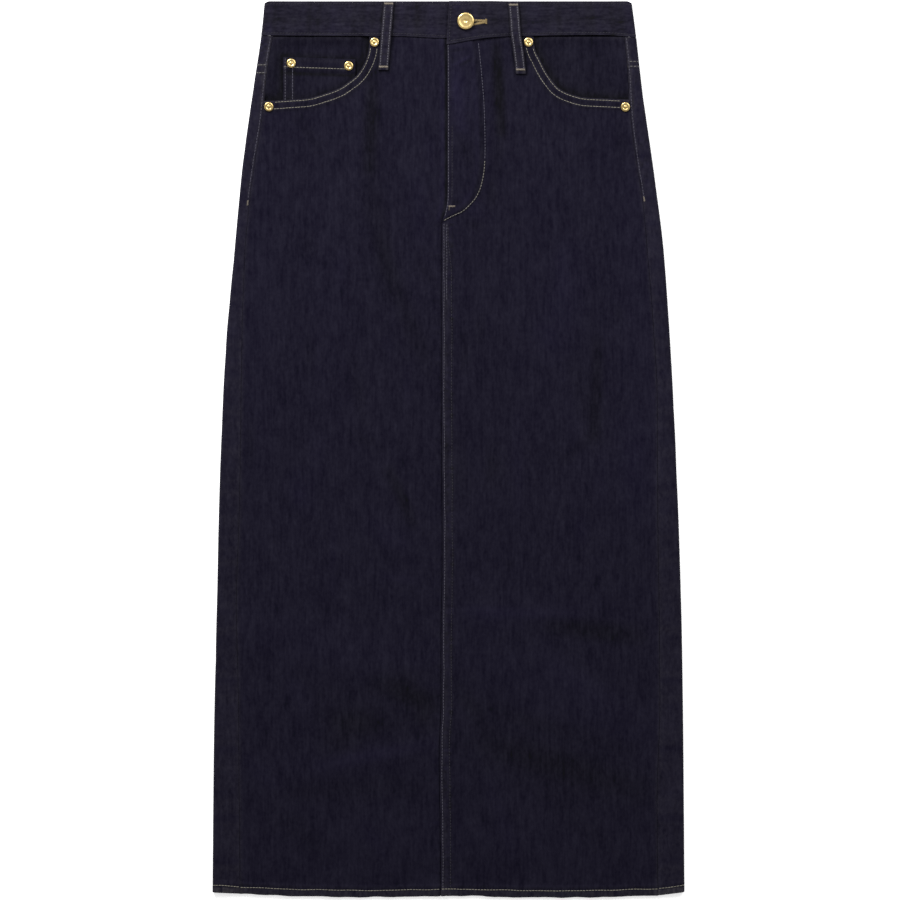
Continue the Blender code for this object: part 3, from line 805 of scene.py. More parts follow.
# The lighter stripes over the raised fly and along the felled seam's bump are painted light, and the
# darker one beside the fly's curve is painted shade.
LEFT_PAINT = painted(
    ("x", 12, 18, 0.2, 0, -10, 1, 130, 30),
    ("fly_stitch", -3.2, 2.2, -0.3, 0, -10, 1, FLY_ENDS, 8),
    ("fly_stitch", -8, 2.5, 0.15, 0, -10, 1, FLY_ENDS, 8),
    ("fly_stitch", 0, 1.6, 0, 0.1, 150, 20, FLY_ENDS, 8),
    ("centre", 0.7, 1.1, 0, 0.16, -10, 1, FLY_ENDS, 8),
    ("centre", FLY_SECOND_ROW, 1.2, 0, 0.05, 120, 10, FLY_ENDS, 8),
    ("centre", FELL_FIRST_ROW, 1.7, 0, 0.15, FLY_ENDS, 12),
    ("centre", FELL_FIRST_ROW, 1.7, 0, -0.035, 430, 60),
    ("centre", FELL_CLOSE_ROW, 1.1, 0, 0.05, FLY_ENDS, 12),
    ("centre", FELL_CLOSE_ROW, 1.1, 0, 0.08, FLY_ENDS, 12, 315, 30),
    ("centre", FELL_SECOND_ROW, 2, 0, 0.045, 240, 40),
    ("centre", 6, 4, 0, 0.03, FLY_ENDS, 12),
    ("centre", 5.5, 2.6, 0.25, 0, FLY_ENDS, 12, *TO_HEM, "down", 5, 37),
)
# The darker stripes beside the centre are a painted shadow of the fly's edge and of the seam below it,
# and the lighter ones are painted light on ridges beside them.
RIGHT_PAINT = painted(
    ("centre", 1.2, 1.5, -0.75, 0, -10, 1, 220, 8),
    ("centre", 5, 2, 0.4, 0, -10, 1, 220, 8),
    ("centre", 0.6, 1.2, -0.15, 0, 212, 8),
    ("centre", 4, 4, 0.08, 0, 212, 8, *TO_HEM, "down", 6, 39),
)
STRIP_PAINT = painted(
    ("side_seam", -1, 2.2, 0, 0.05),
    ("side_seam", -1.8, 2.4, 0, 0.16, -10, 1, 115, 20),
    ("side_seam", -EDGE_ROW, 1.8, 0, 0.06, -10, 1, 208, 8),
    ("side_seam", -EDGE_ROW, 1.8, 0, 0.036, -10, 1, 208, 8, "down", 9, 97),
)
# The darker stripes at the mouth are painted shade inside the pocket, and the one at the waist is a
# painted shadow under the band. The lighter ones are wear.
FACING_PAINT = painted(
    ("mouth", 0, 5.5, -0.5, 0),
    ("mouth", 0, 12, -0.1, 0),
    ("waist", 0.2, 1.6, -0.35, 0),
    ("waist", 2.6, 1.6, 0, 0.07),
    ("side_seam", 0, 4, 0, 0.03),
)


def lines_at(side, x, down, mouth_reach=None):
    """Distances of places from the lines of the cloth, by the names that the tables use."""
    lines = {
        "x": x,
        "down": down,
        "side_seam": side * (side_seam(side, down) - x),
        "centre": side * (x - fly_edge(down)),
        "fly_stitch": x - fly_stitch(down),
        "waist": down - waist_seam(side, x),
        "hem": hem_down(x) - down,
        "yoke": yoke_end(side) - down,
    }
    if mouth_reach:
        lines["mouth"], _ = near_path(x, down, mouth_path(side), mouth_reach)
    return lines


def striped(lines, stripes, *columns):
    """Sum of each of the columns over the stripes, for every place."""
    down = lines["down"]
    total = np.zeros(down.shape + (len(columns),))
    for stripe in stripes:
        share = ease((down - stripe.start) / stripe.over) * ease((stripe.end - down) / stripe.out)
        share = share * bell(lines[stripe.line] - stripe.off, stripe.reach)
        if stripe.along:
            share = share * ripples(lines[stripe.along], stripe.wavelength, stripe.seed)
        total += share[..., None] * [getattr(stripe, column) for column in columns]
    return total


def paint_of(lines, stripes):
    return striped(lines, stripes, "tone", "wear")


def relief_of(lines, stripes):
    return striped(lines, stripes, "height")[..., 0]


def sewn_relief(x, down, rows, seed):
    """Groove and puckers that rows of stitches leave in the cloth."""
    total = np.zeros_like(x, dtype=float)
    for i, row in enumerate(rows):
        distance, along = near_path(x, down, row, 3 * PUCKER_REACH)
        total -= GROOVE_DEPTH * bell(distance, GROOVE_REACH)
        puckers = ripples(along, 9.0, seed + i)
        total += 0.13 * puckers * bell(distance, PUCKER_REACH)
    return total


def front_relief(side, x, down):
    """Turned edges, felled seam and sewing of a front, over its smooth form."""
    lines = lines_at(side, x, down, FRONT_MOUTH_REACH)
    total = relief_of(lines, FRONT_RELIEF + (LEFT_RELIEF if side > 0 else RIGHT_RELIEF))
    total += MOUTH_TURN_LIFT * (1.0 - ease((lines["mouth"] - MOUTH_TURN) / MOUTH_TURN_EASE))
    if side > 0:
        fell = 1.0 - ease((lines["centre"] - FELL_WIDTH + 1.6) / 1.8)
        total += FELL_LIFT * ease((down - FLY_ENDS) / 16.0) * fell
    hem = lines["hem"]
    roping = np.sin(2 * math.pi * (x + 0.8 * hem) / 8.5 + 1.4 * ripples(x, 30.0, 44))
    total += 0.14 * roping * (1.0 - ease((hem - 7.5) / 4.0)) * ease(hem / 2.0)
    return total + sewn_relief(x, down, FRONT_ROWS[side].values(), 50 + 10 * side)


def front_surface(side):
    """Outer face of a front: points (x, y, z) for arrays of x and down."""
    def point(x, down):
        height = front_height(x, down) + front_relief(side, x, down)
        if side > 0:
            height = height + fly_lift(x, down)
        return points_at(x, down, height)
    return point


def panel_height(x, down):
    """Outer face of whichever front lies on top."""
    x = np.asarray(x, float)
    down = np.asarray(down, float)
    left = front_surface(1)(x, down)[..., 2]
    right = front_surface(-1)(x, down)[..., 2]
    return np.where(x > fly_edge(down), left, right)


def facing_surface(side):
    """Outer face of a pocket facing: level with the side seam, then sunk under the front."""
    layers = 2 if side < 0 else 1

    def point(x, down):
        from_seam = side * (side_seam(side, down) - x)
        under = down - (mouth_edge(side, x) - 10.0)
        sink = np.maximum(ease(from_seam / FACING_BLEND), ease(under / 8.0))
        height = front_height(x, down) - layers * LAYER * sink - 0.1
        top = down - waist_seam(side, x)
        mouth, _ = near_path(x, down, mouth_path(side), 14.0)
        clear = np.where(mouth < 13.0, ease((mouth - 2.0) / 8.0), 1.0)
        raised = (layers * LAYER - 0.3) * (1.0 - ease(top / 13.0)) * clear
        height = height + np.minimum(raised, layers * LAYER * sink)
        height = height + 0.06 * mottle(x, down, 10.0, 24.0, 61)
        return points_at(x, down, height)
    return point


def coin_top(x):
    share = (x - COIN_RIGHT_EDGE) / (COIN_LEFT_EDGE - COIN_RIGHT_EDGE)
    return COIN_TOP + COIN_TOP_SLOPE * share


COIN_HEM = 14.0
COIN_TOP_ROW = 9.9
COIN_SIDE_ROWS = (2.2, 9.6)
# The darker stripes below the hem, at the mouth and between the side rows are painted shade and painted
# shadow. The lighter ones are wear.
COIN_PAINT = painted(
    ("top", COIN_HEM + 2.2, 1.7, -0.6, 0),
    ("top", 2.6, 1.6, 0, 0.06),
    ("top", COIN_TOP_ROW, 1.3, 0, 0.08),
    ("mouth", 0, 5, -0.3, 0),
    ("edge", 6.2, 1.8, -0.3, 0),
    ("edge", COIN_SIDE_ROWS[0], 2, 0, 0.08),
    ("edge", COIN_SIDE_ROWS[1], 2, 0, 0.08),
)


def coin_rows():
    x = np.linspace(COIN_RIGHT_EDGE + 1.0, COIN_LEFT_EDGE - 3.0, 40)
    rows = [path_of(x, coin_top(x) + COIN_TOP_ROW)]
    for inset in COIN_SIDE_ROWS:
        x = COIN_RIGHT_EDGE + inset
        top = COIN_TOP + (1.5 if inset < 5 else 10.5)
        down = np.linspace(top, mouth_edge(-1, x) + 4.0, 30)
        rows.append(path_of(x, down))
    return rows


def coin_surface(x, down):
    """Outer face of the coin pocket, with its hem and its turned side."""
    points = facing_surface(-1)(x, down)
    hem = 0.75 * (1.0 - ease((down - coin_top(x) - COIN_HEM + 1.5) / 1.5))
    turned = 0.3 * (1.0 - ease((x - COIN_RIGHT_EDGE - 10.5) / 1.5))
    points[..., 2] += LAYER + hem + turned + sewn_relief(x, down, coin_rows(), 80)
    return points


# The back wraps forward over both side folds. A place on it is given by s, the distance round
# its section from the fold's outermost line, negative underneath, and by down.

def back_surface(side):
    centre = {distance: side * distance for distance in (FELL_FIRST_ROW, FELL_SECOND_ROW)}

    def point(s, down):
        radius = fold_height(side, down) / 2
        quarter = math.pi / 2 * radius
        middle = outline_edge(side, down) - side * radius
        angle = np.clip(s / radius, -math.pi / 2, math.pi / 2)
        beyond = s - np.clip(s, -quarter, quarter)
        x = middle + side * (radius * np.cos(angle) - np.abs(beyond))
        on_top = front_height(x, down) + strip_relief(side, x, down)
        z = np.where(beyond > 0, on_top, radius * (1 + np.sin(angle)))
        under = ease(-beyond / 3.0)
        z = z + under * underside_rise(side, x, down, centre)
        return points_at(x, down, z)
    return point


def strip_relief(side, x, down):
    """Ditch of the side seam and the sewing, on the part of the back that lies on top."""
    inward = side * (outline_edge(side, down) - x) - fold_height(side, down) / 2
    total = relief_of(lines_at(side, x, down), STRIP_RELIEF) + 0.1 * mottle(x, down, 18.0, 40.0, 46)
    return total * ease(inward / 4.0)


def underside_rise(side, x, down, centre):
    """How far the underside stands off the floor, at its creases, grooves and seams."""
    total = np.zeros_like(x, dtype=float)
    for crease in UNDER_CREASES:
        total += crease.height * crease_share(crease, x, down)
    total = np.minimum(total, UNDERSIDE_CREASE)
    total += 0.05 + 0.05 * mottle(x, down, 20.0, 45.0, 47)
    yoke = yoke_seam(side, x)
    for row in (yoke - YOKE_FIRST_ROW, yoke - YOKE_SECOND_ROW, hem_down(x) - HEM_ROW_UP):
        total += 0.42 * bell(down - row, 1.3)
    if side > 0:
        for row in centre.values():
            total += 0.42 * ease((down - yoke) / 3.0) * bell(x - row, 1.3)
    return np.clip(total, UNDERSIDE_LOW, UNDERSIDE_HIGH)


def strip_rows(side):
    """Distances of the yoke's two rows above its seam, on the strip that lies on top."""
    return (YOKE_FIRST_ROW, STRIP_SECOND_RIGHT if side < 0 else STRIP_SECOND_LEFT)


def under_seam(side, x):
    """Waist seam underneath, by x. It meets the front's seam at the side folds."""
    outer = np.abs(outline_edge(side, np.array(30.0))) - BAND_FOLD / 2
    share = ease((outer - np.abs(x)) / UNDER_SEAM_EASE)
    return waist_seam(side, x) * (1.0 - share) + UNDER_BAND_DEPTH * share


def yoke_end(side):
    """Where the yoke's seam comes round the side fold."""
    return YOKE_RIGHT if side < 0 else YOKE_LEFT


def yoke_seam(side, x):
    """Yoke seam underneath, by x."""
    at_side = yoke_end(side)
    inward = 1.0 - np.abs(x) / np.abs(outline_edge(side, at_side))
    return at_side + (YOKE_CENTRE - at_side) * np.clip(inward, 0.0, 1.0)


def section_ends(side, down, inner):
    """s at the centre of the back and at the side seam."""
    radius = fold_height(side, down) / 2
    quarter = math.pi / 2 * radius
    middle = outline_edge(side, down) - side * radius
    first = -quarter - np.abs(middle - inner)
    seam = side_seam(side, down) + side * SEAM_GAP / 2
    return first, quarter + np.abs(middle - seam)


# The waistband. A place on it is given by s, the distance round from its lower end by way of the
# right fold, the back and the left fold to its upper end, and by its distance from the top.

BAND_PARTS = (0.0, 219.0, 230.3, 592.0, 603.3, 783.0)
BAND_COUNTS = (130, 14, 150, 14, 110)


def band_height(x, upper, down):
    near = np.where(x < 0, -1.0, 1.0)
    inward = near * (outline_edge(near, down) - x) - BAND_FOLD / 2
    level = BAND_FOLD + (BAND_FRONT - BAND_FOLD) * ease(inward / BAND_FOLD_REACH)
    climb = BAND_LAP * ease((LAP_CLIMB_FROM - x) / (LAP_CLIMB_FROM - LAP_CLIMB_TO))
    return level + np.where(upper, climb, 0.0)


def band_relief(s, down):
    """Soft rolls along the band, its sewing and the pull of its seam."""
    swell = 0.7 + 0.3 * ripples(s, 70.0, 62)
    total = relief_of({"down": down}, BAND_ROLLS) * swell + 0.1 * ripples(s, 26.0, 63)
    for row in BAND_ROWS:
        total -= GROOVE_DEPTH * bell(down - row, 0.9)
        total += 0.07 * ripples(s, 7.0, 64) * bell(down - row, 3.5)
    return total


BAND_ROWS = (2.9, BAND_DEPTH - 2.3)
# The lighter stripe on the lower roll is painted light, and the darker one in the trough above it is
# painted shade. The rest is wear.
BAND_PAINT = painted(
    ("down", 28.5, 4, 0.1, 0),
    ("down", 18.5, 3.5, -0.12, 0),
    ("down", 0, 1.8, 0, 0.1),
    ("down", BAND_DEPTH - 1, 1.2, 0, 0.06),
    ("s", (BAND_PARTS[1] + BAND_PARTS[2]) / 2, 3, 0, 0.08),
    ("s", (BAND_PARTS[3] + BAND_PARTS[4]) / 2, 3, 0, 0.08),
    ("s", BAND_PARTS[5], 1.4, 0, 0.1),
)
BAND_SPANS = ((3.0, 224.6, THREAD), (224.6, 597.6, UNDER_THREAD), (597.6, 781.0, THREAD))


def band_section(t, down, right, left):
    """x and z round the band. t is 1 to 2 round the right fold, and 3 to 4 round the left one."""
    upper_end = BAND_END_TOP + BAND_END_SLANT * down / BAND_DEPTH
    x = UNDERLAP_END + (right - UNDERLAP_END) * np.clip(t, 0, 1)
    x = np.where(t > 2, right + (left - right) * np.clip(t - 2, 0, 1), x)
    x = np.where(t > 4, left + (upper_end - left) * np.clip(t - 4, 0, 1), x)
    z = np.zeros_like(x)
    for side, first, middle in ((-1, 1, right), (1, 3, left)):
        on_fold = (t > first) & (t < first + 1)
        turn = side * (math.pi * np.clip(t - first, 0, 1) - math.pi / 2)
        x = np.where(on_fold, middle + side * BAND_FOLD / 2 * np.cos(turn), x)
        z = np.where(on_fold, BAND_FOLD / 2 * (1 + np.sin(turn)), z)
    return x, z


def band_surface(s, down):
    """Outer face of the waistband: points for arrays of s and down."""
    right = outline_edge(-1, down)
    left = outline_edge(1, down)
    t = np.interp(s, BAND_PARTS, range(6))
    x, z = band_section(t, down, right + BAND_FOLD / 2, left - BAND_FOLD / 2)
    relief = band_relief(s, down)
    z = np.where(t <= 1, band_height(x, False, down) + relief, z)
    z = np.where(t >= 4, band_height(x, True, down) + relief, z)
    flat = (t >= 2) & (t <= 3)
    rows = sum(bell(down - row, 0.9) for row in BAND_ROWS)
    rise = np.clip(0.1 - relief + 0.25 * rows, UNDERSIDE_LOW, UNDERSIDE_HIGH)
    z = np.where(flat, rise * ease(np.minimum(t - 2, 3 - t) * 150), z)
    side = np.where(t < 2.5, -1.0, 1.0)
    seam = np.where(flat, under_seam(side, x), waist_seam(side, x))
    corner = BAND_CORNER * (1.0 - ease(np.minimum(x - right, left - x) / BAND_CORNER_REACH))
    part = down / BAND_DEPTH
    return points_at(x, seam * part - (TOP_RISE - corner) * (1.0 - part), z)


def loop_middle(loop, along):
    """x of a belt loop's middle line, which bends a little to one side."""
    straight = loop.x + (loop.x_end - loop.x) * along / (loop.down_end - loop.down)
    return straight + loop.bend * bell(along - LOOP_BEND_AT, LOOP_BEND_REACH)


def under_loop(x, down):
    """What a belt loop lies on: the band, then the front below it."""
    band = band_height(x, x > 0, down)
    side = np.where(x < 0, -1.0, 1.0)
    share = ease((down - waist_seam(side, x) - 1.0) / 9.0)
    return band + (panel_height(x, down) - band) * share


def loop_surface(loop):
    """Outer face of a belt loop, by the distance across it and along it."""
    length = loop.down_end - loop.down

    def point(across, along):
        x = loop_middle(loop, along) + across
        down = loop.down + along
        height = under_loop(x, down) + SEAM_GAP + LOOP_WALL
        arch = 1.0 * np.sin(math.pi * np.clip((along - 5.0) / (length - 10.0), 0.0, 1.0))
        rows = bell(np.abs(across) - LOOP_ROW, 0.8)
        height = height + arch - 0.25 * rows + 0.12 * ripples(along, 9.0, 71)
        if loop.x > 0:
            height = height + 0.6 * bell(along - 54.0, 1.6)
        ends = np.minimum(along, length - along)
        height = height - 0.35 * bell(ends, 1.2)
        return points_at(x, down, height)
    return point


# Making meshes.

cloth = bpy.data.collections.new("denim_skirt_cloth")
sewing = bpy.data.collections.new("denim_skirt_sewing")
metal = bpy.data.collections.new("denim_skirt_metal")
studio = bpy.data.collections.new("studio")
for made in (cloth, sewing, metal, studio):
    bpy.context.scene.collection.children.link(made)


def add_mesh(name, points, faces, collection, paint=None):
    """Smooth mesh from points in millimetres. Its paint holds the tone, with painted light and shade in
    it, and the wear of each.
    """
    mesh = bpy.data.meshes.new(name)
    mesh.from_pydata((points.reshape(-1, 3) * METRE).tolist(), [], faces)
    mesh.shade_smooth()
    if paint is not None:
        for i, kind in enumerate(("tone", "wear")):
            layer = mesh.attributes.new(kind, "FLOAT", "POINT")
            layer.data.foreach_set("value", paint[..., i].reshape(-1).astype(np.float32))
    piece = bpy.data.objects.new(name, mesh)
    collection.objects.link(piece)
    return piece


def grid_faces(rows, columns, turned):
    """Quads of a grid of points. turned reverses the side that they face."""
    index = np.arange(rows * columns).reshape(rows, columns)
    a = index[:-1, :-1].ravel()
    b = index[1:, :-1].ravel()
    c = index[1:, 1:].ravel()
    d = index[:-1, 1:].ravel()
    order = (a, d, c, b) if turned else (a, b, c, d)
    return np.stack(order, axis=-1).tolist()


def add_shell(name, grid, paint, wall, bevel, turned, material):
    """Cloth from the grid of its outer face. Its thickness goes inwards, and its edges round."""
    faces = grid_faces(grid.shape[0], grid.shape[1], turned)
    piece = add_mesh(name + "_cloth", grid, faces, cloth, paint)
    solidify = piece.modifiers.new("thickness", "SOLIDIFY")
    solidify.thickness = wall * METRE
    solidify.offset = -1.0
    solidify.use_even_offset = False
    rounding = piece.modifiers.new("edges", "BEVEL")
    rounding.width = bevel * METRE
    rounding.segments = 2
    rounding.limit_method = "ANGLE"
    rounding.angle_limit = math.radians(55)
    piece.data.materials.append(material)
    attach(piece, "root")
    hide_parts(name)
    return piece


def grid_normals(grid, turned):
    """Unit normals of a grid of points, on the side that it faces."""
    along = np.gradient(grid, axis=0)
    across = np.gradient(grid, axis=1)
    normal = np.cross(along, across)
    normal /= np.linalg.norm(normal, axis=-1)[..., None]
    return -normal if turned else normal


def turn_hem(grid, paint, turned, rows_up):
    """The grid with its last row folded round and up again inside, as a turned hem."""
    normal = grid_normals(grid, turned)
    edge = grid[-1]
    out = edge - grid[-2]
    out /= np.linalg.norm(out, axis=-1)[:, None]
    added = []
    for angle in np.linspace(0, math.pi, 7)[1:]:
        sweep = out * math.sin(angle) - normal[-1] * (1 - math.cos(angle))
        added.append(edge + TURN_RADIUS * sweep)
    inner = [grid[-1 - i] - 2 * TURN_RADIUS * normal[-1 - i] for i in range(1, rows_up)]
    grid = np.concatenate([grid, np.stack(added), np.stack(inner)])
    extra = np.repeat(paint[-1:], len(added) + len(inner), axis=0)
    return grid, np.concatenate([paint, extra])


def tuck_under(grid, paint, side):
    """The grid with its last column turned down, to lie under the edge of its neighbour."""
    steps = ((0.15, 0.35), (0.9, 1.15))
    added = [grid[:, -1] - np.array([side * inward, 0.0, drop]) for inward, drop in steps]
    grid = np.concatenate([grid, np.stack(added, axis=1)], axis=1)
    return grid, np.concatenate([paint, np.repeat(paint[:, -1:], len(added), axis=1)], axis=1)


# Finishes.

DENIM = (0.0040, 0.0031, 0.0099)
GRAIN = (0.0050, 0.0048, 0.0070)
DARKEST = (0.0008, 0.0006, 0.0020)
BRASS_DARK = (0.42, 0.27, 0.085)
BRASS_LIGHT = (0.74, 0.56, 0.24)
WORN = (0.030, 0.028, 0.025)
DARKEST_SHADE = 0.3
RIBS_PER_METRE = 360.0
RIB_SLANT = math.radians(33)
DENIM_LOOK = {
    "Roughness": 0.88,
    "Specular IOR Level": 0.1,
    "Sheen Weight": 0.012,
    "Sheen Roughness": 0.5,
}
THREAD_LOOK = {"Roughness": 0.6, "Specular IOR Level": 0.25}
PATTERNS = table(
    "name scale detail",
    ("streaks", (420, 34, 120), 2),
    ("slubs", (230, 80, 150), 1),
    ("grains", (380, 240, 300), 1),
    ("patches", (80, 42, 60), 2),
    ("clouds", (26, 15, 20), 2),
)
GRAIN_AMOUNTS = (("streaks", 1.2), ("slubs", 1.3), ("grains", 1.1), ("patches", 0.8), ("clouds", 0.6))
# Finishes of the cloth: where each one's grain is taken from, which way it runs, and how light,
# worn and grainy the cloth is. The facings and the coin pocket are less light as painted shade, and
# the band's lightness and its worn share are partly rubbing and partly painted sheen.
DENIMS = table(
    "name shift lightness turn worn grainy",
    ("denim", (0, 0, 0)),
    ("denim_right", (0.31, 0.12, 0)),
    ("denim_back", (0.77, 0.45, 0.2)),
    ("denim_band", (0.2, 0.9, 0), 0.95, math.pi / 2, 0.03, 1.5),
    ("denim_facing", (0.5, 0.3, 0.1), 0.95),
    ("denim_coin", (0.13, 0.63, 0.1), 0.95),
    ("denim_loop", (0.63, 0.23, 0.1), 1.1),
    defaults=(1.0, 0.0, 0.0, 1.0),
)
THREADS = {
    "thread_gold": (0.175, 0.164, 0.132),
    "thread_tonal": (0.058, 0.055, 0.076),
    "thread_pale": (0.070, 0.067, 0.084),
    "thread_dark": (0.014, 0.0125, 0.020),
    "thread_fly": (0.12, 0.112, 0.098),
    "thread_strip": (0.10, 0.095, 0.092),
    "thread_bartack": (0.155, 0.132, 0.105),
    "thread_buttonhole": (0.215, 0.155, 0.068),
}


def new_material(name):
    material = bpy.data.materials.new(name)
    material.use_nodes = True
    return material, material.node_tree, material.node_tree.nodes["Principled BSDF"]


def add_node(tree, kind, **settings):
    node = tree.nodes.new(kind)
    for key, value in settings.items():
        setattr(node, key, value)
    return node


def set_inputs(node, values):
    for name, value in values.items():
        node.inputs[name].default_value = value


def object_place(tree):
    return add_node(tree, "ShaderNodeTexCoord").outputs["Object"]


def add_bump(tree, shader, height, strength, distance):
    bump = add_node(tree, "ShaderNodeBump")
    bump.inputs["Strength"].default_value = strength
    bump.inputs["Distance"].default_value = distance
    tree.links.new(height, bump.inputs["Height"])
    tree.links.new(bump.outputs["Normal"], shader.inputs["Normal"])


def arithmetic(tree, operation, first, second):
    node = add_node(tree, "ShaderNodeMath", operation=operation)
    for socket, value in zip(node.inputs, (first, second)):
        if isinstance(value, (int, float)):
            socket.default_value = value
        else:
            tree.links.new(value, socket)
    return node.outputs["Value"]


def noise(tree, coordinates, scale, detail):
    """Noise with its own scale along each axis, from about -0.5 to 0.5."""
    stretch = add_node(tree, "ShaderNodeMapping")
    stretch.inputs["Scale"].default_value = scale
    tree.links.new(coordinates, stretch.inputs["Vector"])
    pattern = add_node(tree, "ShaderNodeTexNoise")
    pattern.inputs["Scale"].default_value = 1.0
    pattern.inputs["Detail"].default_value = detail
    pattern.inputs["Roughness"].default_value = 0.6
    tree.links.new(stretch.outputs["Vector"], pattern.inputs["Vector"])
    return arithmetic(tree, "SUBTRACT", pattern.outputs["Fac"], 0.5)


def scaled(tree, color, amount):
    """A colour times a value that varies."""
    node = add_node(tree, "ShaderNodeVectorMath", operation="SCALE")
    node.inputs[0].default_value = color
    tree.links.new(amount, node.inputs["Scale"])
    return node.outputs["Vector"]


def combined(tree, operation, first, second):
    """Two colours, channel by channel. The second one may be fixed."""
    node = add_node(tree, "ShaderNodeVectorMath", operation=operation)
    tree.links.new(first, node.inputs[0])
    if isinstance(second, tuple):
        node.inputs[1].default_value = second
    else:
        tree.links.new(second, node.inputs[1])
    return node.outputs["Vector"]


def denim_color(tree, patterns, denim):
    """Dyed cloth with its grain, scaled by the mesh's tone, which holds painted light and shade as well
    as uneven colour, and lighter where the mesh's wear says that it is rubbed.
    """
    total = None
    for name, amount in GRAIN_AMOUNTS:
        part = arithmetic(tree, "MULTIPLY", patterns[name], amount * denim.grainy)
        total = part if total is None else arithmetic(tree, "ADD", total, part)
    # The tone attribute brings in the painted light and shade as well as uneven colour.
    tone = add_node(tree, "ShaderNodeAttribute", attribute_name="tone")
    shade = arithmetic(tree, "ADD", tone.outputs["Fac"], 1.0)
    shade = arithmetic(tree, "MAXIMUM", shade, DARKEST_SHADE)
    color = scaled(tree, [channel * denim.lightness for channel in DENIM], shade)
    color = combined(tree, "ADD", color, scaled(tree, GRAIN, total))
    color = combined(tree, "MAXIMUM", color, DARKEST)
    wear = add_node(tree, "ShaderNodeAttribute", attribute_name="wear")
    rubbed = arithmetic(tree, "ADD", arithmetic(tree, "MULTIPLY", patterns["grains"], 2.0), 1.0)
    rubbed = arithmetic(tree, "MULTIPLY", rubbed, wear.outputs["Fac"])
    # The worn share adds rubbing, and on the band painted sheen as well.
    rubbed = arithmetic(tree, "MAXIMUM", arithmetic(tree, "ADD", rubbed, denim.worn), 0.0)
    return combined(tree, "ADD", color, scaled(tree, WORN, rubbed))


def denim_relief(tree, at, patterns):
    """Diagonal ribs of the twill, with its slubs and grain."""
    ribs = add_node(tree, "ShaderNodeMapping")
    ribs.inputs["Rotation"].default_value = (0.0, 0.0, RIB_SLANT)
    tree.links.new(at, ribs.inputs["Vector"])
    twill = add_node(tree, "ShaderNodeTexWave", wave_type="BANDS", bands_direction="X")
    tree.links.new(ribs.outputs["Vector"], twill.inputs["Vector"])
    twill.inputs["Scale"].default_value = RIBS_PER_METRE
    twill.inputs["Distortion"].default_value = 1.2
    twill.inputs["Detail"].default_value = 1.0
    relief = arithmetic(tree, "MULTIPLY", twill.outputs["Fac"], 0.5)
    relief = arithmetic(tree, "ADD", relief, arithmetic(tree, "MULTIPLY", patterns["slubs"], 0.9))
    return arithmetic(tree, "ADD", relief, patterns["grains"])


def make_denim(denim):
    """Indigo twill: slubby warp streaks, cloudy dye, fine grain and diagonal ribs."""
    material, tree, shader = new_material(denim.name)
    grain = add_node(tree, "ShaderNodeMapping")
    grain.inputs["Location"].default_value = denim.shift
    grain.inputs["Rotation"].default_value = (0.0, 0.0, denim.turn)
    tree.links.new(object_place(tree), grain.inputs["Vector"])
    at = grain.outputs["Vector"]
    patterns = {row.name: noise(tree, at, row.scale, row.detail) for row in PATTERNS}
    tree.links.new(denim_color(tree, patterns, denim), shader.inputs["Base Color"])
    add_bump(tree, shader, denim_relief(tree, at, patterns), 0.45, 0.00022)
    set_inputs(shader, DENIM_LOOK)
    return material


def make_thread(name, color):
    """Twisted sewing thread, uneven in colour from stitch to stitch."""
    material, tree, shader = new_material(name)
    at = object_place(tree)
    uneven = arithmetic(tree, "MULTIPLY", noise(tree, at, (240.0, 240.0, 240.0), 1.0), 0.9)
    fibres = arithmetic(tree, "MULTIPLY", noise(tree, at, (2600.0, 2600.0, 2600.0), 2.0), 0.5)
    total = arithmetic(tree, "ADD", arithmetic(tree, "ADD", uneven, fibres), 1.0)
    tree.links.new(scaled(tree, color, total), shader.inputs["Base Color"])
    add_bump(tree, shader, fibres, 0.3, 0.0001)
    set_inputs(shader, THREAD_LOOK)
    return material


def make_brass(name, shade):
    """Pale polished brass with fine scratches and uneven colour."""
    material, tree, shader = new_material(name)
    at = object_place(tree)
    scratches = noise(tree, at, (900.0, 3200.0, 900.0), 3.0)
    patina = noise(tree, at, (420.0, 420.0, 420.0), 2.0)
    ramp = add_node(tree, "ShaderNodeValToRGB")
    ramp.color_ramp.elements[0].position = 0.2
    ramp.color_ramp.elements[0].color = [shade * part for part in BRASS_DARK] + [1.0]
    ramp.color_ramp.elements[1].position = 0.75
    ramp.color_ramp.elements[1].color = [shade * part for part in BRASS_LIGHT] + [1.0]
    tree.links.new(arithmetic(tree, "ADD", patina, 0.62), ramp.inputs["Fac"])
    tree.links.new(ramp.outputs["Color"], shader.inputs["Base Color"])
    rough = arithmetic(tree, "ADD", arithmetic(tree, "MULTIPLY", scratches, 0.25), 0.3)
    tree.links.new(rough, shader.inputs["Roughness"])
    add_bump(tree, shader, scratches, 0.25, 0.00005)
    shader.inputs["Metallic"].default_value = 1.0
    return material


# The cloth pieces.

def shares(*parts):
    """Shares from 0 to 1, as parts of (end share, count) with their own even spacing."""
    found = [0.0]
    for end, count in parts:
        found += list(np.linspace(found[-1], end, count + 1)[1:])
    return np.array(found)


def rows_down(x_hem, fine):
    """Rows from below the pocket mouth to where the hem starts to turn, for each column."""
    middle = [np.arange(TOP_ROW, 160.0, 3.0)]
    middle.append(np.arange(160.0, 226.0, 1.5 if fine else 3.0))
    middle.append(np.arange(226.0, HEM_ROW, 3.0))
    middle = np.concatenate(middle)
    hem = hem_down(x_hem) - TURN_RADIUS
    last = HEM_ROW + (hem - HEM_ROW) * np.linspace(0.0, 1.0, 29)[:, None]
    return np.concatenate([np.repeat(middle[:, None], len(x_hem), axis=1), last])


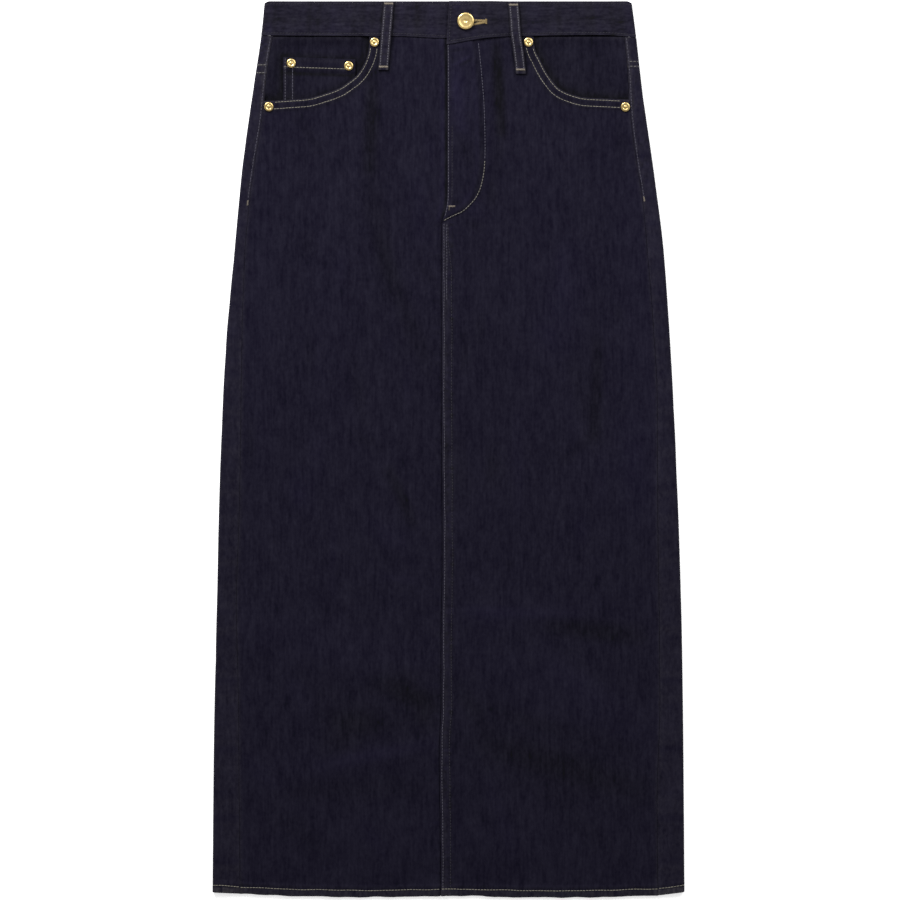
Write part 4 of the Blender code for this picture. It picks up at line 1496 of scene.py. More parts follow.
def front_top_line(side, inner, share):
    """Where each column starts on the top edge: along the waist seam, then the mouth."""
    mouth = mouth_path(side)
    waist_share = 5 / 15 if side < 0 else 0.32
    start_x = inner(np.array(BAND_DEPTH + 4.0))
    x = start_x + (mouth[0, 0] - start_x) * np.clip(share / waist_share, 0, 1)
    down = waist_seam(side, x) + SEAM_GAP
    arcs = arc_lengths(mouth)
    at = np.clip((share - waist_share) / (1 - waist_share), 0, 1) * arcs[-1]
    past = share > waist_share
    x = np.where(past, np.interp(at, arcs, mouth[:, 0]), x)
    down = np.where(past, np.interp(at, arcs, mouth[:, 1]), down)
    ends = share >= 1.0
    x = np.where(ends, side_seam(side, down) - side * SEAM_GAP / 2, x)
    return x, down


def loop_shadow_share(x, down):
    """Share of the painted shadow beside the belt loops: 1 at their edges, less beside them and 0 away.
    """
    share = np.zeros_like(x, dtype=float)
    for loop in BELT_LOOPS:
        along = (down - loop.down) / (loop.down_end - loop.down)
        middle = loop_middle(loop, down - loop.down)
        beside = np.maximum(np.abs(x - middle - 0.8) - BELT_LOOP_WIDTH / 2, 0.0)
        share = np.maximum(share, bell(beside, 2.4) * bell(np.maximum(along - 1.0, 0.0), 0.04))
    return share


# Columns of a front's mesh, from its centre to its side seam, and its rows down to TOP_ROW, as
# end shares and counts.
FRONT_COLUMNS = {
    -1: ((0.06, 10), (0.95, 62), (1.0, 8)),
    1: ((0.06, 22), (0.25, 30), (0.95, 48), (1.0, 8)),
}
FRONT_TOP_ROWS = {
    -1: ((0.1, 5), (1.0, 24)),
    1: ((0.1, 5), (0.5, 20), (0.85, 42), (1.0, 7)),
}


def build_front(name, side, material):
    inner = right_front_edge if side < 0 else fly_edge
    share = shares(*FRONT_COLUMNS[side])

    def outer(down):
        return side_seam(side, down) - side * SEAM_GAP / 2

    def across(down):
        return inner(down) + share * (outer(down) - inner(down))

    lower = rows_down(across(np.array(HEM_LOWEST)), side > 0)
    x_lower = across(lower)
    upper = shares(*FRONT_TOP_ROWS[side])[:-1, None]
    top_x, top_down = front_top_line(side, inner, share)
    down_upper = top_down + (TOP_ROW - top_down) * upper
    x_upper = top_x + (x_lower[0] - top_x) * upper
    first = share == 0.0
    last = share == 1.0
    x_upper[:, first] = inner(down_upper[:, first])
    x_upper[:, last] = outer(down_upper[:, last])
    x = np.concatenate([x_upper, x_lower])
    down = np.concatenate([down_upper, lower])
    grid = front_surface(side)(x, down)
    grid[..., 1] += 0.35 * ripples(x, 40.0, 32) * ease((down - hem_down(x) + 12.0) / 10.0)
    grid, paint = turn_hem(grid, front_paint(side, x, down), side < 0, 6)
    return add_shell(name, grid, paint, SHELL, SHELL_BEVEL, side < 0, material)


def hem_wear(x, down):
    """How much a turned hem is rubbed, most at its folded edge."""
    hem = hem_down(x) - down
    patchy = 0.75 + 0.45 * ripples(x, 7.0, 33) * ripples(x, 31.0, 38)
    corners = ease((np.abs(x) - 185.0) / 40.0)
    turned = 0.19 + 0.34 * corners
    return (turned * (1.0 - ease((hem - 5.6) / 1.2)) + 0.22 * bell(hem, 1.2)) * patchy


def marks_wear(x, down):
    total = np.zeros_like(x, dtype=float)
    for spot in MARKS:
        total += spot.wear * bell(x - spot.x, spot.reach_x) * bell(down - spot.down, spot.reach_down)
    return total


def ladder_light_and_shade(x, down):
    total = np.zeros_like(x, dtype=float)
    for ladder in LADDERS:
        ends = ease((down - ladder.down) / 2.0) * ease((ladder.down_end - down) / 2.0)
        wave = np.sin(2 * math.pi * (down - ladder.down) / ladder.pitch)
        total += 0.28 * wave * ends * bell(x - ladder.x, ladder.reach)
    return total


def felled_tone(centre, down):
    """Uneven thread of the felled seam's far row, below the fly."""
    dashes = ripples(down, 3.3, 34) * (0.6 + 0.4 * ripples(down, 40.0, 36))
    return 0.55 * dashes * bell(centre - FELL_SECOND_ROW, 1.9) * ease((down - FLY_ENDS) / 12.0)


def front_paint(side, x, down):
    """Tone and wear of a front: rubbed at edges and seams, with painted shade in troughs, painted light
    on ridges and a painted shadow beside the belt loops.
    """
    lines = lines_at(side, x, down, FRONT_MOUTH_REACH)
    paint = paint_of(lines, FRONT_PAINT + (LEFT_PAINT if side > 0 else RIGHT_PAINT))
    # Painted light and shade of the creases and ridges, and a painted shadow beside the belt loops.
    tone = crease_light_and_shade(x, down, CREASES) - 0.4 * loop_shadow_share(x, down)
    for ridge in RIDGES:
        tone += 0.04 * ridge.height * crease_share(ridge, x, down)
    wear = hem_wear(x, down) + marks_wear(x, down)
    if side > 0:
        # Painted light and shade of the wrinkles across the fly, and the uneven thread of the felled row.
        tone += ladder_light_and_shade(x, down) + felled_tone(lines["centre"], down)
        crossing = bell(lines["hem"] - HEM_ROW_UP, 1.0)
        wear += 0.15 * crossing * bell(lines["centre"] - FELL_FIRST_ROW, 2.0)
    return paint + np.stack([tone, wear], axis=-1)


def build_back_panel(name, side, material):
    columns = shares((0.055, 8), (0.86, 44), (0.875, 3), (0.905, 10), (0.985, 9), (1.0, 3))
    surface = back_surface(side)
    inner = side * SEAM_GAP / 2
    at_side = yoke_end(side)
    x_top = outline_edge(side, np.array(at_side)) * np.clip(columns / 0.875, 0, 1)
    top = yoke_seam(side, x_top) + SEAM_GAP / 2
    upper = top + (TOP_ROW + 4.0 - top) * shares((1.0, 12))[:-1, None]
    middle = np.arange(TOP_ROW + 4.0, HEM_ROW, 4.0)
    first_s, last_s = section_ends(side, np.array(HEM_LOWEST - 8.0), inner)
    x_hem = surface(first_s + (last_s - first_s) * columns, np.full(len(columns), HEM_LOWEST - 8.0))
    shorter = 0.3 * (1.0 - ease((columns - 0.82) / 0.08))
    hem = hem_down(x_hem[:, 0]) - shorter - TURN_RADIUS
    last = HEM_ROW + (hem - HEM_ROW) * shares((1.0, 20))[:, None]
    down = np.concatenate([upper, np.repeat(middle[:, None], len(columns), axis=1), last])
    first_s, last_s = section_ends(side, down, inner)
    s = first_s + (last_s - first_s) * columns
    grid = surface(s, down)
    paint = back_paint(side, grid[..., 0], down, s)
    grid, paint = turn_hem(grid, paint, side > 0, 5)
    grid, paint = tuck_under(grid, paint, side)
    return add_shell(name, grid, paint, SHELL, SHELL_BEVEL, side > 0, material)


def back_paint(side, x, down, s):
    """Tone and wear of the back: its underside, its side folds and the strips on top, with painted light
    and shade along creases, painted light over the strips and a painted shadow at the hem's inner edge.
    """
    under = ease(-s / 12.0)
    on_top = 1.0 - under
    lines = lines_at(side, x, down)
    paint = on_top[..., None] * paint_of(lines, STRIP_PAINT)
    # Painted light over the strips on top, with painted light and shade of the creases.
    tone = on_top * (0.04 + crease_light_and_shade(x, down, CREASES))
    tone += under * crease_light_and_shade(x, down, UNDER_CREASES)
    feathers = ripples(down, 4.0, 92) * ripples(x, 9.0, 93)
    tone += 0.3 * on_top * ease((220.0 - down) / 60.0) * feathers
    # Painted shadow at the hem's inner edge.
    tone -= 0.25 * bell(lines["hem"] - HEM_INNER_EDGE, 1.3)
    wear = on_top * (0.06 + 0.03 * ripples(down, 17.0, 91) + marks_wear(x, down))
    wear += 0.06 * bell(s, 3.0) + hem_wear(x, down)
    for distance in strip_rows(side):
        wear += 0.3 * on_top * bell(lines["yoke"] - distance, 1.3)
    return paint + np.stack([tone, wear], axis=-1)


def build_yoke(material):
    halves = []
    paints = []
    columns = shares((0.86, 52), (0.935, 12), (1.0, 9))
    level = np.full(len(columns), BAND_DEPTH)
    for side in (-1, 1):
        edge = outline_edge(side, np.array(50.0))
        bottom = yoke_seam(side, edge * np.clip(columns / 0.93, 0, 1)) - SEAM_GAP / 2
        first_s, last_s = section_ends(side, level, 0.0)
        around = first_s + (last_s - first_s) * columns
        x = back_surface(side)(around, level)[:, 0]
        top = np.where(around < 0.0, under_seam(side, x), waist_seam(side, x)) + SEAM_GAP
        down = top + (bottom - top) * shares((0.05, 2), (0.9, 20), (1.0, 4))[:, None]
        first_s, last_s = section_ends(side, down, 0.0)
        s = first_s + (last_s - first_s) * columns
        half = back_surface(side)(s, down)
        half, paint = tuck_under(half, back_paint(side, half[..., 0], down, s), side)
        halves.append(half[:, ::-1] if side < 0 else half[:, 1:])
        paints.append(paint[:, ::-1] if side < 0 else paint[:, 1:])
    grid = np.concatenate(halves, axis=1)
    paint = np.concatenate(paints, axis=1)
    return add_shell("back_yoke", grid, paint, SHELL, SHELL_BEVEL, True, material)


def band_paint(grid, s, down):
    """Tone and wear of the waistband, with painted light and shade on its rolls and a painted shadow
    beside the belt loops.
    """
    upper = grid[..., 2] > 4.0
    paint = paint_of({"down": down, "s": s}, BAND_PAINT)
    tone = 0.02 + 0.13 * ripples(s, 44.0, 94) + 0.1 * ripples(s, 13.0, 95)
    tone += crease_light_and_shade(grid[..., 0], down, BAND_CREASES) * upper
    # Painted shadow beside the belt loops.
    for loop in BELT_LOOPS:
        middle = loop_middle(loop, down - loop.down)
        beside = np.abs(grid[..., 0] - middle - 0.8) - BELT_LOOP_WIDTH / 2
        tone -= 0.4 * bell(np.maximum(beside, 0.0), 2.4) * upper
    return paint + np.stack([tone, np.full_like(tone, 0.05)], axis=-1)


def build_waistband(material):
    down = BAND_DEPTH * shares((0.14, 6), (0.86, 16), (1.0, 6))
    grid_s, grid_down = np.meshgrid(shares(*zip(BAND_PARTS[1:], BAND_COUNTS)), down)
    grid = band_surface(grid_s, grid_down)
    paint = band_paint(grid, grid_s, grid_down)
    return add_shell("waistband", grid, paint, BAND_WALL, 0.8, True, material)


def facing_paint(side, x, down):
    """Tone and wear of a facing, with painted shade over it, at the mouth and at the waist seam, and a
    painted shadow round the coin pocket.
    """
    paint = paint_of(lines_at(side, x, down, FACING_MOUTH_REACH), FACING_PAINT)
    # Painted light and shade of the creases, and painted shade over the whole facing.
    paint[..., 0] += crease_light_and_shade(x, down, CREASES) - 0.12
    if side < 0:
        # Painted shadow round the coin pocket's top and outer edge.
        beside = np.maximum(np.maximum(COIN_RIGHT_EDGE - x, x - COIN_LEFT_EDGE), 0.0)
        beyond = np.hypot(beside, np.maximum(coin_top(x) - down, 0.0))
        shade = 0.42 * bell(beyond, 4.0) + 0.2 * bell(beyond, 9.0) * (x < COIN_RIGHT_EDGE + 8.0)
        paint[..., 0] -= shade
    return paint


def build_pocket_facing(name, side, material):
    rows = mouth_rows(side)
    inner = rows[0].x - FACING_UNDER

    def across(down):
        """Distances of the columns from the middle of the skirt."""
        outer = np.abs(side_seam(side, down)) - SEAM_GAP
        return inner + (outer - inner) * shares((0.9, 50), (1.0, 10))

    x = across(np.array(100.0))
    near_waist = rows[2].down + FACING_UNDER * (0.5 + 0.5 * ease((x - rows[0].x) / 6.0))
    bottom = np.where(x > rows[2].x, mouth_edge(side, side * x) + FACING_UNDER, near_waist)
    top = waist_seam(side, side * across(np.array(BAND_DEPTH)))
    top = np.maximum(top, BAND_DEPTH) + SEAM_GAP
    down = top + (bottom - top) * shares((0.08, 4), (1.0, 30))[:, None]
    x = side * across(down)
    grid = facing_surface(side)(x, down)
    return add_shell(name, grid, facing_paint(side, x, down), SHELL, SHELL_BEVEL, side < 0, material)


def build_coin_pocket(material):
    x = COIN_RIGHT_EDGE + (COIN_LEFT_EDGE - COIN_RIGHT_EDGE) * shares((0.2, 16), (1.0, 30))
    top = coin_top(x)
    bottom = mouth_edge(-1, x) + COIN_UNDER
    down = top + (bottom - top) * shares((0.08, 5), (1.0, 28))[:, None]
    x = np.repeat(x[None, :], len(down), axis=0)
    lines = {
        "down": down,
        "top": down - top,
        "mouth": mouth_edge(-1, x) - down,
        "edge": x - COIN_RIGHT_EDGE,
    }
    # Painted shade over the whole coin pocket, as over the facing under it.
    paint = paint_of(lines, COIN_PAINT) - (0.12, 0.0)
    return add_shell("coin_pocket", coin_surface(x, down), paint, SHELL, SHELL_BEVEL, False, material)


def build_fly_facing(material):
    down = np.linspace(BAND_DEPTH + 9.5, FLY_FACING_END, 60)[:, None]
    inner = np.maximum(right_front_edge(down) + SEAM_GAP, fly_edge(down) + 1.0)
    outer = fly_stitch(down) - FLY_STEP - 0.6
    x = inner + (outer - inner) * shares((1.0, 12))
    down = np.repeat(down, x.shape[1], axis=1)
    height = front_height(x, down) + fly_lift(x, down) - LAYER - 0.05
    grid = points_at(x, down, height - 0.25)
    paint = np.zeros(x.shape + (2,))
    return add_shell("fly_facing", grid, paint, SHELL, SHELL_BEVEL, False, material)


def build_belt_loop(loop, material):
    length = loop.down_end - loop.down
    half = BELT_LOOP_WIDTH / 2
    across = half * np.linspace(-1, 1, 21)
    along = length * shares((0.05, 5), (0.95, 56), (1.0, 5))
    grid_across, grid_along = np.meshgrid(across, along)
    grid = loop_surface(loop)(grid_across, grid_along)
    off = np.abs(grid_across)
    tone = 0.2 * ripples(grid_along, 5.0, 72) * bell(off, 3.5)
    wear = 0.12 + 0.34 * bell(off - LOOP_ROW - 0.3, 1.3) * (1.0 + 0.25 * ripples(grid_along, 9.0, 73))
    paint = np.stack([tone, wear], axis=-1)
    return add_shell(loop.name, grid, paint, LOOP_WALL, 0.5, False, material)


# Sewing.

def lay_on(surface, path, outward):
    """Points and normals of a surface along a path of its own coordinates."""
    a = path[:, 0]
    b = path[:, 1]
    step = 0.2
    points = surface(a, b)
    run_a = surface(a + step, b) - surface(a - step, b)
    run_b = surface(a, b + step) - surface(a, b - step)
    normal = np.cross(run_b, run_a) * outward
    normal /= np.linalg.norm(normal, axis=-1)[:, None]
    return points, normal


RING = 5
RING_PLACES = np.array([0.0, 0.16, 0.5, 0.84, 1.0])
RING_LIFTS = np.array([-0.75, 0.45, 0.8, 0.45, -0.75])
RING_SIZES = np.array([0.7, 0.95, 1.0, 0.95, 0.7])


def thread_mesh(starts, ends, normals_start, normals_end, thickness):
    """Short threads, one for each start and end, bowed up from the cloth between them."""
    run = ends - starts
    centres = starts[:, None] + run[:, None] * RING_PLACES[None, :, None]
    normal = normals_start[:, None] * (1 - RING_PLACES)[None, :, None]
    normal = normal + normals_end[:, None] * RING_PLACES[None, :, None]
    normal /= np.linalg.norm(normal, axis=-1)[..., None]
    centres = centres + normal * (RING_LIFTS * thickness)[None, :, None]
    across = np.cross(normal, run[:, None] / np.linalg.norm(run, axis=-1)[:, None, None])
    across /= np.linalg.norm(across, axis=-1)[..., None]
    turns = 2 * math.pi * np.arange(RING) / RING
    size = (RING_SIZES * thickness)[None, :, None, None]
    ring = across[:, :, None] * np.cos(turns)[:, None] + normal[:, :, None] * np.sin(turns)[:, None]
    points = centres[:, :, None] + ring * size
    count = len(starts)
    rings = len(RING_PLACES)
    index = np.arange(count * rings * RING).reshape(count, rings, RING)
    after = np.roll(index, -1, axis=2)
    sides = np.stack([index[:, :-1], after[:, :-1], after[:, 1:], index[:, 1:]], axis=-1)
    faces = sides.reshape(-1, 4).tolist()
    faces += index[:, 0, ::-1].tolist()
    faces += index[:, -1].tolist()
    return points.reshape(-1, 3), faces


def join_threads(name, parts, material):
    """One mesh of many threads."""
    points = []
    faces = []
    start = 0
    for part_points, part_faces in parts:
        points.append(part_points)
        faces += [[start + i for i in face] for face in part_faces]
        start += len(part_points)
    points = np.concatenate(points)
    points[:, 2] = np.maximum(points[:, 2], THREAD_LOWEST)
    piece = add_mesh(name, points, faces, sewing)
    piece.data.materials.append(material)
    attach(piece, "root")
    return piece


def stitch_row(surface, path, outward, thickness=THREAD, length=STITCH, seed=0):
    """Row of stitches along a path of a surface."""
    points, normals = lay_on(surface, evenly(path, 1.0), outward)
    arcs = arc_lengths(points)
    count = max(int(arcs[-1] / length), 1)
    draw = np.random.default_rng(900 + seed)
    starts = np.arange(count) * (arcs[-1] / count) + draw.uniform(-0.12, 0.12, count)
    ends = starts + length * STITCH_SHARE + draw.uniform(-0.15, 0.15, count)

    def at(places, values):
        return np.stack([np.interp(places, arcs, values[:, i]) for i in range(3)], axis=-1)

    first = at(starts, points)
    second = at(ends, points)
    first_normal = at(starts, normals)
    second_normal = at(ends, normals)
    sideways = np.cross(first_normal, second - first)
    sideways /= np.linalg.norm(sideways, axis=-1)[:, None]
    first = first + sideways * draw.uniform(-0.09, 0.09, count)[:, None]
    second = second + sideways * draw.uniform(-0.09, 0.09, count)[:, None]
    return thread_mesh(first, second, first_normal, second_normal, thickness)


def satin_row(surface, path, outward, reach, spacing, thickness, seed=0):
    """Close threads laid across a path, as in a bartack or a buttonhole."""
    middle = evenly(path, spacing)
    run = np.gradient(middle, axis=0)
    run /= np.linalg.norm(run, axis=1)[:, None]
    across = np.stack([-run[:, 1], run[:, 0]], axis=-1)
    draw = np.random.default_rng(700 + seed)
    far = reach + draw.uniform(-0.12, 0.12, len(middle))[:, None]
    near = reach + draw.uniform(-0.12, 0.12, len(middle))[:, None]
    slant = run * draw.uniform(0.05, 0.3, len(middle))[:, None]
    first, first_normal = lay_on(surface, middle - across * near - slant, outward)
    second, second_normal = lay_on(surface, middle + across * far + slant, outward)
    return thread_mesh(first, second, first_normal, second_normal, thickness)


FRONT = 1
COIN_SEWN_TO = -94.0
LOOP_THREAD = 0.42
LOOP_STITCH = 2.5

# Sewing of the fronts and of the coin pocket. Rows with one mesh name are joined.
FRONT_SEWING = table(
    "mesh thread surface row thickness seed",
    ("stitching_pockets", "thread_gold", "right", "mouth", THREAD, 10),
    ("stitching_pockets", "thread_gold", "right", "mouth_second", THREAD, 11),
    ("stitching_pockets", "thread_gold", "left", "mouth", THREAD, 30),
    ("stitching_pockets", "thread_gold", "left", "mouth_second", THREAD, 31),
    ("stitching_coin_top", "thread_gold", "coin", "top", THREAD, 41),
    ("stitching_coin_side", "thread_tonal", "coin", "side", THREAD, 42),
    ("stitching_coin_side", "thread_tonal", "coin", "side_second", THREAD, 42),
    ("stitching_fly", "thread_tonal", "left", "fly_upper", THREAD, 50),
    ("stitching_fly", "thread_tonal", "left", "fly_edge", THREAD, 51),
    ("stitching_fly_curve", "thread_fly", "left", "fly_lower", FLY_THREAD, 52),
    ("stitching_fly_second", "thread_dark", "left", "fly_second", FINE_THREAD, 53),
    ("stitching_centre_front", "thread_tonal", "left", "fell_first", THREAD, 60),
    ("stitching_centre_front", "thread_tonal", "left", "fell_close", FINE_THREAD, 62),
    ("stitching_centre_front_second", "thread_dark", "left", "fell_second", THREAD, 61),
)
FLY_TACKS = table(
    "x x_end down down_end points reach spacing thickness seed",
    (0.4, 6.4, 203.9, 203.9, 16, 0.9, 0.6, 0.26, 3),
    (0.7, 0.7, 205.2, 207.6, 6, 0.5, 0.7, 0.18, 4),
)
SIDE_TACKS = ((-1, 200.5), (1, 196.5))


def loop_tacks(loop):
    """Places of a belt loop's two bartacks along it."""
    length = loop.down_end - loop.down
    return (2.3, length - 3.3) if loop.x < 0 else (3.5, length - 4.3)


def wrapped_row(surface, side, s, down, thickness, seed):
    """Row of stitches round a side fold: finer underneath, where its groove hides it."""
    parts = []
    for keep, size in ((s < 0.0, UNDER_THREAD), (s >= 0.0, thickness)):
        parts.append(stitch_row(surface, path_of(s[keep], down[keep]), -side, size, seed=seed))
    return parts


def sew_fronts(surfaces, threads):
    curve = FRONT_ROWS[1]["fly_curve"]
    low = curve[:, 1] > FLY_BRIGHT_FROM
    top, side, side_second = coin_rows()
    rows = {
        "right": FRONT_ROWS[-1],
        "left": FRONT_ROWS[1] | {"fly_upper": curve[~low], "fly_lower": curve[low]},
        "coin": {"top": top[top[:, 0] < COIN_SEWN_TO], "side": side, "side_second": side_second},
    }
    meshes = {}
    for sewn in FRONT_SEWING:
        row = rows[sewn.surface][sewn.row]
        part = stitch_row(surfaces[sewn.surface], row, FRONT, sewn.thickness, seed=sewn.seed)
        meshes.setdefault((sewn.mesh, sewn.thread), []).append(part)
    for (name, thread), parts in meshes.items():
        join_threads(name, parts, threads[thread])


def sew_hems(fronts, backs, thread):
    parts = []
    for side in (-1, 1):
        parts.append(stitch_row(fronts[side], FRONT_ROWS[side]["hem"], FRONT, HEM_THREAD, seed=70 + side))
        down = np.full(80, HEM_LOWEST - HEM_ROW_UP)
        first_s, last_s = section_ends(side, down, side * 0.6)
        s = np.linspace(first_s[0], last_s[0] - 0.6, 80)
        x = backs[side](s, down)[:, 0]
        down = hem_down(x) - 0.3 - HEM_ROW_UP + 0.3 * ripples(x, 55.0, 31)
        parts += wrapped_row(backs[side], side, s, down, HEM_THREAD, 75 + side)
    join_threads("stitching_hem", parts, thread)


def yoke_row(surface, side, distance, on_strip, seed):
    """Row above the yoke's seam, from the centre back round to the strip that lies on top."""
    at_side = yoke_end(side)
    quarter = math.pi / 4 * fold_height(side, np.array(at_side))
    down = np.full(90, at_side - distance)
    first_s, last_s = section_ends(side, down, 0.0)
    s = np.linspace(first_s[0], last_s[0] - 1.2, 90)
    seam = yoke_seam(side, surface(s, down)[:, 0])
    share = ease((s + quarter) / 6 + 1)
    level = seam + (at_side - seam) * share
    level = level - distance - (on_strip - distance) * share
    return wrapped_row(surface, side, s, level, STRIP_THREAD, seed)


def sew_back(backs, threads):
    """Yoke, side seams and centre back."""
    yokes = []
    yoke_ends = []
    edges = []
    for side in (-1, 1):
        distances = zip((YOKE_FIRST_ROW, YOKE_SECOND_ROW), strip_rows(side))
        for i, (distance, on_strip) in enumerate(distances):
            below, above = yoke_row(backs[side], side, distance, on_strip, 80 + i + side)
            yokes.append(below)
            yoke_ends.append(above)
        down = np.arange(36.0, 200.0, 4.0)
        _, last_s = section_ends(side, down, 0.0)
        row = path_of(last_s - EDGE_ROW, down)
        edges.append(stitch_row(backs[side], row, -side, FINE_THREAD, seed=85 + side))
    centre = []
    down = np.arange(YOKE_CENTRE + 2.0, HEM_LOWEST - 4.0, 4.0)
    for i, distance in enumerate((FELL_FIRST_ROW, FELL_SECOND_ROW)):
        first_s, _ = section_ends(1, down, distance)
        centre.append(stitch_row(backs[1], path_of(first_s, down), -1, UNDER_THREAD, seed=90 + i))
    join_threads("stitching_yoke", yokes, threads["thread_tonal"])
    join_threads("stitching_yoke_ends", yoke_ends, threads["thread_strip"])
    join_threads("stitching_side_seams", edges, threads["thread_tonal"])
    join_threads("stitching_centre_back", centre, threads["thread_tonal"])


def sew_band(thread):
    parts = []
    for i, row in enumerate(BAND_ROWS):
        for j, (start, end, size) in enumerate(BAND_SPANS):
            along = path_of(np.arange(start, end, 2.0), row)
            parts.append(stitch_row(band_surface, along, -1, size, seed=95 + i + 10 * j))
    end = path_of(BAND_PARTS[-1] - 2.4, np.linspace(*BAND_ROWS, 20))
    parts.append(stitch_row(band_surface, end, -1, seed=97))
    join_threads("stitching_waistband", parts, thread)


def sew_loops(thread):
    """Rows of stitches along the belt loops. Returns their bartacks, to be joined to the others."""
    parts = []
    tacks = []
    for loop in BELT_LOOPS:
        length = loop.down_end - loop.down
        surface = loop_surface(loop)
        for side in (-1, 1):
            row = path_of(side * LOOP_ROW, np.linspace(5.5, length - 4.5, 40))
            parts.append(stitch_row(surface, row, FRONT, LOOP_THREAD, LOOP_STITCH, seed=100 + side))
        for along in loop_tacks(loop):
            row = path_of(np.linspace(-4.2, 4.2, 20), along)
            tacks.append(satin_row(surface, row, FRONT, 1.05, 0.5, 0.28, seed=int(along)))
    join_threads("stitching_belt_loops", parts, thread)
    return tacks


def front_tacks(front, backs):
    """Bartacks at the end of the fly and on the side seams."""
    tacks = []
    for row in FLY_TACKS:
        x = np.linspace(row.x, row.x_end, row.points)
        path = path_of(x, np.linspace(row.down, row.down_end, row.points))
        tacks.append(satin_row(front, path, FRONT, row.reach, row.spacing, row.thickness, row.seed))
    for side, down in SIDE_TACKS:
        _, last_s = section_ends(side, np.array([down]), 0.0)
        path = path_of(last_s[0] - 1.6, np.linspace(down - 2.2, down + 2.2, 12))
        tacks.append(satin_row(backs[side], path, -side, 0.8, 0.6, 0.25, seed=5 + side))
    return tacks


def build_sewing(threads):
    fronts = {side: front_surface(side) for side in (-1, 1)}
    backs = {side: back_surface(side) for side in (-1, 1)}
    sew_fronts({"right": fronts[-1], "left": fronts[1], "coin": coin_surface}, threads)
    sew_hems(fronts, backs, threads["thread_gold"])
    sew_back(backs, threads)
    sew_band(threads["thread_dark"])
    tacks = sew_loops(threads["thread_pale"]) + front_tacks(fronts[1], backs)
    join_threads("bartacks", tacks, threads["thread_bartack"])
    build_buttonhole(threads["thread_buttonhole"])


def band_s(x):
    """s of a place on the band's upper end, by x."""
    left = float(outline_edge(1, np.array(BUTTON_AT[1]))) - BAND_FOLD / 2
    end = BAND_END_TOP + BAND_END_SLANT * BUTTON_AT[1] / BAND_DEPTH
    share = (left - x) / (left - end)
    return BAND_PARTS[4] + share * (BAND_PARTS[5] - BAND_PARTS[4])


HOLE_END = 36.3
HOLE_DOWN = 18.9


def build_buttonhole(material):
    """Keyhole buttonhole: two worked sides that spread towards the button, and an end bar."""
    x = np.linspace(HOLE_END, BUTTON_AT[0] + 6.0, 24)
    spread = 0.75 + 1.3 * ((HOLE_END - x) / (HOLE_END - x[-1])) ** 1.3
    parts = []
    for sign in (-1, 1):
        row = path_of(band_s(x), HOLE_DOWN + sign * spread)
        parts.append(satin_row(band_surface, row, -1, 1.1, 0.5, 0.26, seed=11 + sign))
    bar = path_of(band_s(HOLE_END + 1.3), np.linspace(HOLE_DOWN - 2.0, HOLE_DOWN + 2.0, 10))
    parts.append(satin_row(band_surface, bar, -1, 1.1, 0.5, 0.28, seed=14))
    join_threads("buttonhole", parts, material)


# Metal fastenings.

RIVET_PROFILE = table(
    TURNED,
    (0, 1.62),
    (0.7, 1.58),
    (1.25, 1.38),
    (1.55, 1.02),
    (1.8, 0.82),
    (2.1, 0.84),
    (2.5, 1.04),
    (3, 1.2),
    (3.6, 1.2),
    (4.2, 1),
    (4.6, 0.66),
    (4.75, 0.3),
    (4.7, 0.05),
    (4.4, -0.1),
    (0, -0.1),
)
BUTTON_PROFILE = table(
    TURNED,
    (0, 2.1),
    (0.7, 2.14),
    (1.3, 2.4),
    (1.7, 2.56),
    (2.4, 2.64),
    (4.6, 2.62),
    (5.6, 2.7),
    (6.3, 2.88),
    (6.9, 2.95),
    (7.5, 2.88),
    (8.05, 2.6),
    (8.4, 2.15),
    (8.5, 1.8),
    (8.3, 1.45),
    (7.8, 1.25),
    (3.2, 1.2),
    (2.8, 1),
    (2.6, -0.1),
    (0, -0.1),
)


def seat_on(height_at, x, down, radius):
    """Height and normal of a surface under a round piece."""
    def height(dx, dy):
        return float(height_at(np.array([x + dx]), np.array([down - dy]))[0])

    slope_x = (height(radius, 0) - height(-radius, 0)) / (2 * radius)
    slope_y = (height(0, radius) - height(0, -radius)) / (2 * radius)
    around = [
        height(dx, dy) - slope_x * dx - slope_y * dy
        for dx, dy in ((0, 0), (radius, 0), (-radius, 0), (0, radius), (0, -radius))
    ]
    return sum(around) / len(around), Vector((-slope_x, -slope_y, 1.0)).normalized()


def add_turned(name, profile, steps, x, down, height_at, material):
    """Turned metal piece, seated a seam's gap above the cloth and square to it."""
    mesh = bpy.data.meshes.new(name)
    shape = bmesh.new()
    points = [shape.verts.new((row.radius * METRE, 0.0, row.height * METRE)) for row in profile]
    for a, b in zip(points, points[1:]):
        shape.edges.new((a, b))
    shape.to_mesh(mesh)
    shape.free()
    piece = bpy.data.objects.new(name + "_turned", mesh)
    metal.objects.link(piece)
    screw = piece.modifiers.new("turn", "SCREW")
    screw.steps = steps
    screw.render_steps = steps
    screw.use_merge_vertices = True
    screw.merge_threshold = 0.00001
    screw.use_smooth_shade = True
    height, normal = seat_on(height_at, x, down, max(row.radius for row in profile))
    piece.location = (x * METRE, (MIDDLE - down) * METRE, (height + SEAM_GAP) * METRE)
    piece.rotation_mode = "QUATERNION"
    piece.rotation_quaternion = Vector((0, 0, 1)).rotation_difference(normal)
    piece.data.materials.append(material)
    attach(piece, "root")
    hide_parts(name)
    return piece


